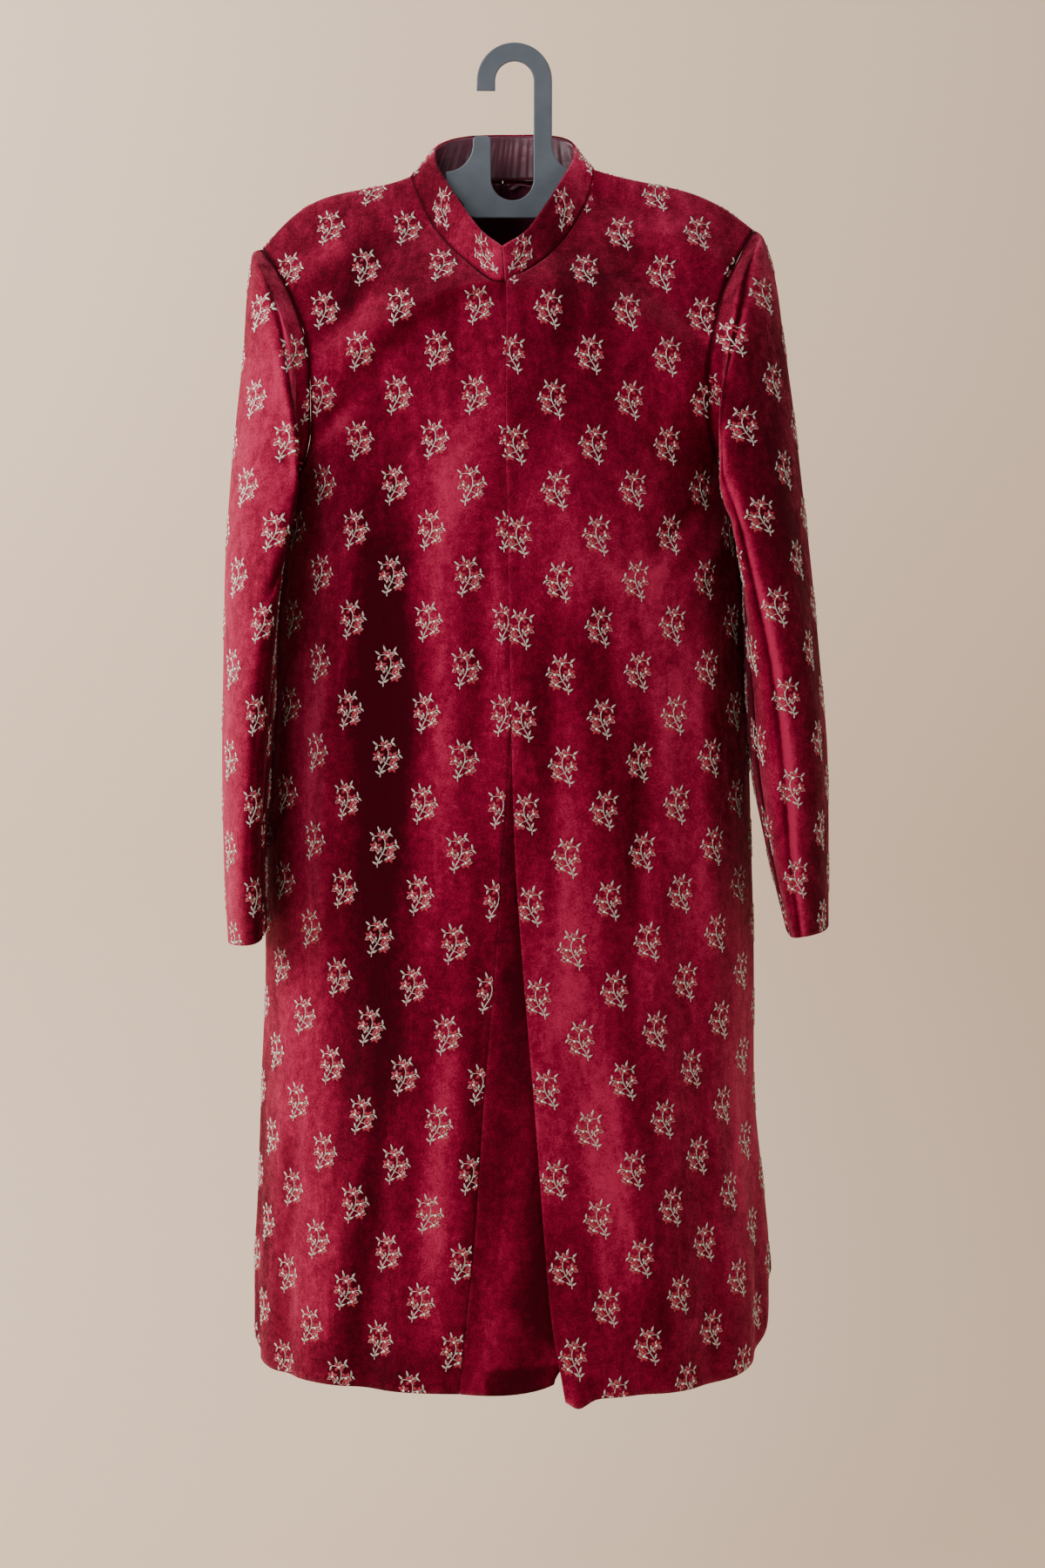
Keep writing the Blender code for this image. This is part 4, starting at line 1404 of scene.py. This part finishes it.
def make_body(looks):
    """Both fronts and both halves of the back. It returns the forms of the back."""
    outer_left = ARMHOLE_FRONT_LEFT + SIDE_LEFT
    back_outer_left = ARMHOLE_BACK_LEFT + spread_side(SIDE_LEFT, -1)
    back_outer_right = ARMHOLE_BACK_RIGHT + spread_side(SIDE_RIGHT, 1)
    under = body_panel(UNDER_FRONT_EDGE, outer_left, -1, -1, FOLDS_UNDER_FRONT, CORNER_LEFT)
    back_left = body_panel(BACK_EDGE_LEFT, back_outer_left, -1, 1, FOLDS_BACK_LEFT, CORNER_LEFT)
    back_right = body_panel(BACK_EDGE_RIGHT, back_outer_right, 1, 1, FOLDS_BACK_RIGHT, CORNER_RIGHT)
    sewn = ("last", "top")
    sewn_back = ("last", "top", "first")
    make_panel("front_under", under, -1, -1, CREASES_UNDER_FRONT, NAP_AND_PAINTED_LIGHT_UNDER_FRONT, sewn, looks)
    make_panel("front_over", over_front(), 1, -1, CREASES_OVER_FRONT, NAP_AND_PAINTED_LIGHT_OVER_FRONT, sewn, looks)
    make_panel("back_left", back_left, -1, 1, CREASES_BACK_LEFT, (), sewn_back, looks)
    make_panel("back_right", back_right, 1, 1, CREASES_BACK_RIGHT, (), sewn_back, looks)
    return back_left, back_right


def make_under_lap(velvet):
    """The plain strip behind the over front's edge, with its hem turned up to the right."""
    places = np.array([-LAP_TUCK, 0.25, 0.4, *np.linspace(4, LAP_WIDTH, LAP_CELLS[0] - 2)]) / LAP_WIDTH
    s, row = np.meshgrid(places, np.linspace(LAP_TOP_ROW, LAST_ROW, LAP_CELLS[1] + 1))
    points = lap_point(s, row)
    share = np.clip(s, 0, 1)
    points[..., 1] += 1.2 * np.sin(row * 2.3) * np.sin(share * math.pi)
    points[:, :2, 1] += VELVET + SEAM_GAP
    low = smooth_step(LAST_ROW - 0.8, LAST_ROW, row)
    points[..., 0] -= LAP_TURN_IN * low**3 * share**4
    points[..., 2] += low * (LAP_RISE * share**2 - LAP_SAG * np.sin(share * math.pi))
    normals = -grid_normals(points)
    flat = flat_places(points, normals, np.zeros_like(points) + np.array([0, 0, -1.0]))
    # Painted shadow where the over front's edge lies over the strip; the strip is also darker at its
    # turned-up hem
    over_front_shadow = np.exp(-(((hermite(OVER_FRONT_EDGE, row)[..., 0] - points[..., 0]) / 26) ** 2))
    pile_and_painted_light = 0.25 * np.sin(s * 9 + row) - 0.9 * over_front_shadow * (1 - low)
    pile_and_painted_light -= 0.8 * smooth_step(0.55, 0.75, low) * (s > 0.2)
    piece = cloth_piece("cloth_under_lap", points, normals, flat, pile_and_painted_light, VELVET, velvet)
    finish_cloth(piece, "under_lap")


def make_sleeve_piece(node, form, along, places, around, side, creases, lit_and_shaded_bands, looks):
    """The top or the under half of a sleeve, with its creases, its bands of painted light and shade and its
    embroidery.
    """
    velvet, tree, sprigs = looks
    row, place = np.meshgrid(along, places)
    points = form(along, places)
    normals = grid_normals(points) * side
    axis = unit(np.gradient(points.mean(axis=1), axis=0))
    axis[places < 4] = axis[np.abs(places - 4).argmin()]
    flat = flat_places(points, normals, np.zeros_like(points) + axis[:, None])
    middle = np.abs(along - (along[0] + along[-1]) / 2).argmin()
    flat -= flat[0, middle]

    rolled = seam_nearness(points, ("first", "last"))
    sewn_in = np.maximum(rolled, seam_nearness(points, ("top",)))
    turned = np.where(row > around / 2, row - around, row)
    units = np.array([SLEEVE_ROW_MM, SLEEVE_PLACE_MM] * 2 + [SLEEVE_ROW_MM, 1])
    height = creases_on(turned * SLEEVE_ROW_MM, place * SLEEVE_PLACE_MM, np.array(creases) * units)
    pucker = PUCKER * np.sin(row * 5.2 + side) * np.exp(-((place / 0.9) ** 2))
    height = (height + pucker * smooth_step(9, 5, np.abs(turned))) * (1 - sewn_in)
    height = height * smooth_step(0, 0.5, place) - SEAM_ROLL * rolled * smooth_step(0, 0.4, place)
    points = points + normals * height[..., None]
    points[:, 0] += unit(points[:, 1] - points[:, 0]) * SEAM_GAP / 2
    points[:, -1] += unit(points[:, -2] - points[:, -1]) * SEAM_GAP / 2
    points[0] += unit(points[1] - points[0]) * SEAM_GAP / 2

    # Painted light from the creases' slope, painted shade along the seams, then the painted bands of light
    # and shade
    pile_and_painted_light = painted_crease_light(points, normals, side) - SEAM_PAINTED_SHADE * sewn_in
    for band_row, drift, half_width, tone in lit_and_shaded_bands:
        aside = (turned - band_row - drift * place) / half_width
        pile_and_painted_light += tone * np.exp(-(aside**2)) * smooth_step(1, 4, place)
    # The under sleeve, turned towards the body, gets painted shade
    if "under" in node:
        pile_and_painted_light -= 0.7
    piece = cloth_piece(f"cloth_{node}", points, grid_normals(points) * side, flat, pile_and_painted_light, VELVET, velvet)
    first = (-SLEEVE_COLUMNS_BEFORE * COLUMN_STEP, SLEEVE_ROWS_ABOVE * ROW_STEP)
    work = embroider(f"sprigs_{node}", piece, tree, sprigs[side], first, SLEEVE_LATTICE)
    finish_cloth(piece, node, [work])


def make_sleeves(looks):
    left = (ARMHOLE_FRONT_LEFT, ARMHOLE_BACK_LEFT, SIDE_LEFT[0], SLEEVE_LEFT)
    right = (ARMHOLE_FRONT_RIGHT, ARMHOLE_BACK_RIGHT, SIDE_RIGHT[0], SLEEVE_RIGHT)
    for name, side, (front, back, underarm, rings), creases in (
        ("left", -1, left, CREASES_SLEEVE_LEFT),
        ("right", 1, right, CREASES_SLEEVE_RIGHT),
    ):
        form = sleeve(front, back, underarm, rings, side)
        around = len(front) + len(back)
        for part, low, high, cells in (
            ("top", BACK_SEAM_ROW, FRONT_SEAM_ROW, SLEEVE_TOP_CELLS),
            ("under", FRONT_SEAM_ROW, around + BACK_SEAM_ROW, SLEEVE_UNDER_CELLS),
        ):
            along = low + (high - low) * fine_ends(cells[0], 0.35)
            places = fine_ends(cells[1], 0.1) * len(rings)
            node = f"sleeve_{part}_{name}"
            make_sleeve_piece(node, form, along, places, around, side, creases, SLEEVE_PAINTED_LIGHT[name], looks)


def make_collar(looks):
    """The collar band, whose top edge is rolled in and whose lower edge is sewn to the neck."""
    velvet, tree, sprigs = looks
    last = len(collar_base()) - 1
    s, down = np.meshgrid(fine_ends(COLLAR_CELLS[0], 0.1) * last, fine_ends(COLLAR_CELLS[1], 0.4))
    points = collar_point(s, down)
    normals = grid_normals(points)
    flat = band_places(points)
    rounded = 0.8 * np.sin(down * math.pi) - 0.9 * np.exp(-((down / 0.05) ** 2))
    points = points + normals * rounded[..., None]
    # Painted shade along the collar's lower edge, at the neck seam
    pile_and_painted_light = 0.5 * np.sin(s * 0.9 + 0.6) - SEAM_PAINTED_SHADE * np.exp(-(((1 - down) / 0.05) ** 2))
    piece = cloth_piece("cloth_collar", points, normals, flat, pile_and_painted_light, VELVET, velvet)
    half = np.ptp(flat[COLLAR_CELLS[1] // 2, :, 0]) / 2
    works = []
    for name, side, start in (
        ("left", -1, COLLAR_FIRST_LEFT - half),
        ("right", 1, half - COLLAR_LAST_RIGHT - (COLLAR_LATTICE[0] - 1) * COLLAR_STEP),
    ):
        steps = (COLLAR_STEP, 0.0)
        given = (piece, tree, sprigs[side], (start, 0), COLLAR_LATTICE, side * COLLAR_TURN, steps)
        works.append(embroider(f"sprigs_collar_{name}", *given))
    finish_cloth(piece, "collar", works)


def make_collar_lining(satin):
    """The satin inside the collar, gathered more towards its lower edge."""
    last = len(collar_base()) - 1
    cells = COLLAR_LINING_CELLS
    along = np.linspace(0.15, last - 0.15, cells[0] + 1)
    s, down = np.meshgrid(along, np.linspace(0.04, 1.03, cells[1] + 1))
    points = collar_point(s, down)
    normals = -grid_normals(points)
    gathers = 0.5 + 0.5 * np.sin(s * 13 + 1.5 * np.sin(s * 3.1) + down * 1.2)
    depth = VELVET + COLLAR_LINING_GAP + 0.9 * gathers * smooth_step(0, 0.5, down)
    points = points + normals * depth[..., None]
    flat = band_places(points)
    piece = cloth_piece("cloth_collar_lining", points, normals, flat, np.zeros_like(s), SATIN, satin)
    finish_cloth(piece, "collar_lining")


def make_back_lining(back_left, back_right, satin):
    """The satin inside the back of the neck, which falls in gathers from the neck seam."""
    cells = BACK_LINING_CELLS
    share, v = np.meshgrid(np.linspace(-1, 1, cells[0] + 1), np.linspace(0, 1, cells[1] + 1))
    fall = 0.03 + 0.97 * v
    top_row = NECK_ROWS - 1 - LINING_NECK_ROWS * np.abs(share)
    row = top_row + (LINING_LAST_ROW - top_row) * fall
    s = LINING_HALF_SHARE * np.abs(share) * fall**0.8
    surface = np.where((share > 0)[..., None], back_right(s, row), back_left(s, row))
    normals = -grid_normals(surface)
    gathers = 0.5 + 0.5 * np.sin(share * 34 + 1.6 * np.sin(share * 9) + 2.0 * v * share)
    folds = 3.0 * gathers * np.exp(-((v / 0.35) ** 2)) + 1.5 * np.sin(share * 9 + v * 4)
    depth = VELVET + LINING_GAP + folds
    points = surface + normals * depth[..., None]
    flat = flat_places(points, normals, np.gradient(points, axis=0))
    piece = cloth_piece("cloth_back_lining", points, normals, flat, np.zeros_like(s), SATIN, satin)
    finish_cloth(piece, "back_lining")


# The hanger


def arc(centre, radius, start, end, steps):
    """Points of an arc between two angles in degrees."""
    turns = np.radians(np.linspace(start, end, steps + 1))
    return [(centre[0] + radius * math.cos(t), centre[1] + radius * math.sin(t)) for t in turns]


def plate_outline():
    """The plate's outline with its hook and notch, (x, z) from the hook's tip clockwise."""
    outer = HOOK_INNER + HOOK_STRAP
    middle = (0, -HOOK_INNER)
    notch_radius = (HOOK_INNER - NOTCH_LEFT) / 2
    notch_middle = (HOOK_INNER - notch_radius, NOTCH_BOTTOM_Z + notch_radius)
    tab_outer = NOTCH_LEFT - TAB_WIDTH
    shoulder_z = FLARE_TOP_Z - FLARE - PLATE_CORNER
    foot_middle = PLATE_FOOT - PLATE_CORNER
    foot_z = PLATE_BOTTOM_Z + PLATE_CORNER
    tab_z = TAB_TOP_Z - TAB_CORNER
    points = [(-outer, HOOK_END_Z)]
    points += arc(middle, outer, 180, 0, 72)
    points += arc((outer + FLARE, FLARE_TOP_Z), FLARE, 180, 270, 24)
    points += [(outer + FLARE, shoulder_z)]
    points += arc((foot_middle, foot_z), PLATE_CORNER, 0, -90, 12)
    points += arc((-foot_middle, foot_z), PLATE_CORNER, -90, -180, 12)
    points += [(tab_outer - FLARE, shoulder_z)]
    points += arc((tab_outer - FLARE, FLARE_TOP_Z), FLARE, -90, 0, 24)
    points += arc((tab_outer + TAB_CORNER, tab_z), TAB_CORNER, 180, 90, 8)
    points += arc((NOTCH_LEFT - TAB_CORNER, tab_z), TAB_CORNER, 90, 0, 8)
    points += arc(notch_middle, notch_radius, 180, 360, 40)
    points += arc(middle, HOOK_INNER, 0, 180, 48)
    return points + [(-HOOK_INNER, HOOK_END_Z)]


def curve_piece(name, node, points, turn, closed, plastic, **settings):
    """A curve through the points, turned about X and made a plain mesh, as a piece of the hanger."""
    curve = bpy.data.curves.new(name, "CURVE")
    for key, value in settings.items():
        setattr(curve, key, value)
    spline = curve.splines.new("POLY")
    spline.points.add(len(points) - 1)
    for target, place in zip(spline.points, points):
        target.co = (*(value * MM for value in place), 1)
    spline.use_cyclic_u = closed
    curve.materials.append(plastic)
    drawn = add_object(name, curve)
    drawn.rotation_euler = (turn, 0, 0)
    bpy.context.view_layer.update()
    graph = bpy.context.evaluated_depsgraph_get()
    mesh = bpy.data.meshes.new_from_object(drawn.evaluated_get(graph), depsgraph=graph)
    mesh.transform(drawn.matrix_world)
    mesh.shade_smooth()
    bpy.data.objects.remove(drawn, do_unlink=True)
    mesh.name = name
    piece = add_object(name, mesh)
    if closed:
        piece.modifiers.new("edge", "WEIGHTED_NORMAL").keep_sharp = True
    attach(piece, "root")
    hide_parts(node)


def make_hanger(plastic):
    plate = {
        "dimensions": "2D",
        "fill_mode": "BOTH",
        "extrude": (PLATE / 2 - PLATE_EDGE) * MM,
        "bevel_depth": PLATE_EDGE * MM,
        "bevel_resolution": 3,
        "offset": -PLATE_EDGE * MM,
    }
    points = [(x, z, 0) for x, z in plate_outline()]
    curve_piece("plate_with_hook", "hanger_plate", points, math.pi / 2, True, plastic, **plate)
    rod = {
        "dimensions": "3D",
        "bevel_depth": ARM_RADIUS * MM,
        "bevel_resolution": 5,
        "use_fill_caps": True,
    }
    line = hermite(ARM_TOP, np.linspace(0, len(ARM_TOP) - 1, 31))
    for name, side in (("left", -1), ("right", 1)):
        points = [(side * x, 0, z - ARM_RADIUS) for x, z in line]
        curve_piece(f"shoulder_arm_{name}", f"hanger_arm_{name}", points, 0, False, plastic, **rod)


# The studio


def aim(thing, target):
    """Turns a light towards a point."""
    way = np.array(target) - np.array(thing.location)
    flat = math.hypot(way[0], way[1])
    thing.rotation_euler = (math.pi / 2 + math.atan2(way[2], flat), 0, -math.atan2(way[0], way[1]))


def make_camera():
    data = bpy.data.cameras.new("camera")
    data.sensor_width = SENSOR_WIDTH
    data.lens = CAMERA_LENS
    camera = add_object("camera", data)
    camera.location = CAMERA_PLACE
    camera.rotation_euler = (math.radians(CAMERA_TILT), 0, 0)
    bpy.context.scene.camera = camera


def make_studio():
    """A pale seamless sweep, the area lights on the coat and the paper, and a dim room."""
    form = bmesh.new()
    profile = [(SWEEP_FRONT_Y, FLOOR_Z), (BEND_Y, FLOOR_Z)]
    for turn in np.radians(np.linspace(6, 90, 15)):
        bend_z = FLOOR_Z + BEND_RADIUS * (1 - math.cos(turn))
        profile.append((BEND_Y + BEND_RADIUS * math.sin(turn), bend_z))
    profile.append((BEND_Y + BEND_RADIUS, SWEEP_TOP_Z))
    rows = [[form.verts.new((x, y, z)) for y, z in profile] for x in (-SWEEP_HALF_WIDTH, SWEEP_HALF_WIDTH)]
    for k in range(len(profile) - 1):
        form.faces.new((rows[0][k], rows[1][k], rows[1][k + 1], rows[0][k + 1]))
    mesh = bpy.data.meshes.new("studio_sweep")
    form.to_mesh(mesh)
    form.free()
    mesh.shade_smooth()
    paper = bpy.data.materials.new("pale_paper")
    paper.use_nodes = True
    set_shader(paper, {"Base Color": PAPER_COLOUR, "Roughness": 0.95})
    mesh.materials.append(paper)
    add_object("studio_sweep", mesh)
    for name, place, target, size, power, colour in LIGHTS:
        data = bpy.data.lights.new(name, "AREA")
        data.size = size
        data.energy = power
        data.color = colour
        light = add_object(name, data)
        light.location = place
        aim(light, target)
    world = bpy.data.worlds.new("room")
    world.use_nodes = True
    fill_inputs(
        world.node_tree, world.node_tree.nodes["Background"], {"Color": ROOM_COLOUR, "Strength": ROOM_LIGHT}
    )
    bpy.context.scene.world = world


make_camera()
VELVET_PILE = crimson_velvet()
SATIN_WEAVE = plum_satin()
THREADS = (
    thread_material("zari_thread", (0.16, 0.14, 0.12), (0.78, 0.72, 0.65), 0.36, metallic=0.5),
    thread_material("red_silk_thread", (0.12, 0.0015, 0.010), (0.47, 0.008, 0.040), 0.55),
    thread_material("pearl_bead", (0.72, 0.69, 0.64), (0.92, 0.90, 0.87), 0.22),
)
SPRIGS = {-1: sprig("sprig", 1, THREADS), 1: sprig("sprig_mirrored", -1, THREADS)}
LOOKS = (VELVET_PILE, embroidery_tree(THREADS), SPRIGS)
BACK_FORMS = make_body(LOOKS)
make_under_lap(VELVET_PILE)
make_sleeves(LOOKS)
make_collar(LOOKS)
make_collar_lining(SATIN_WEAVE)
make_back_lining(*BACK_FORMS, SATIN_WEAVE)
make_hanger(slate_plastic())
for drawn_once in SPRIGS.values():
    bpy.data.objects.remove(drawn_once, do_unlink=True)
make_studio()
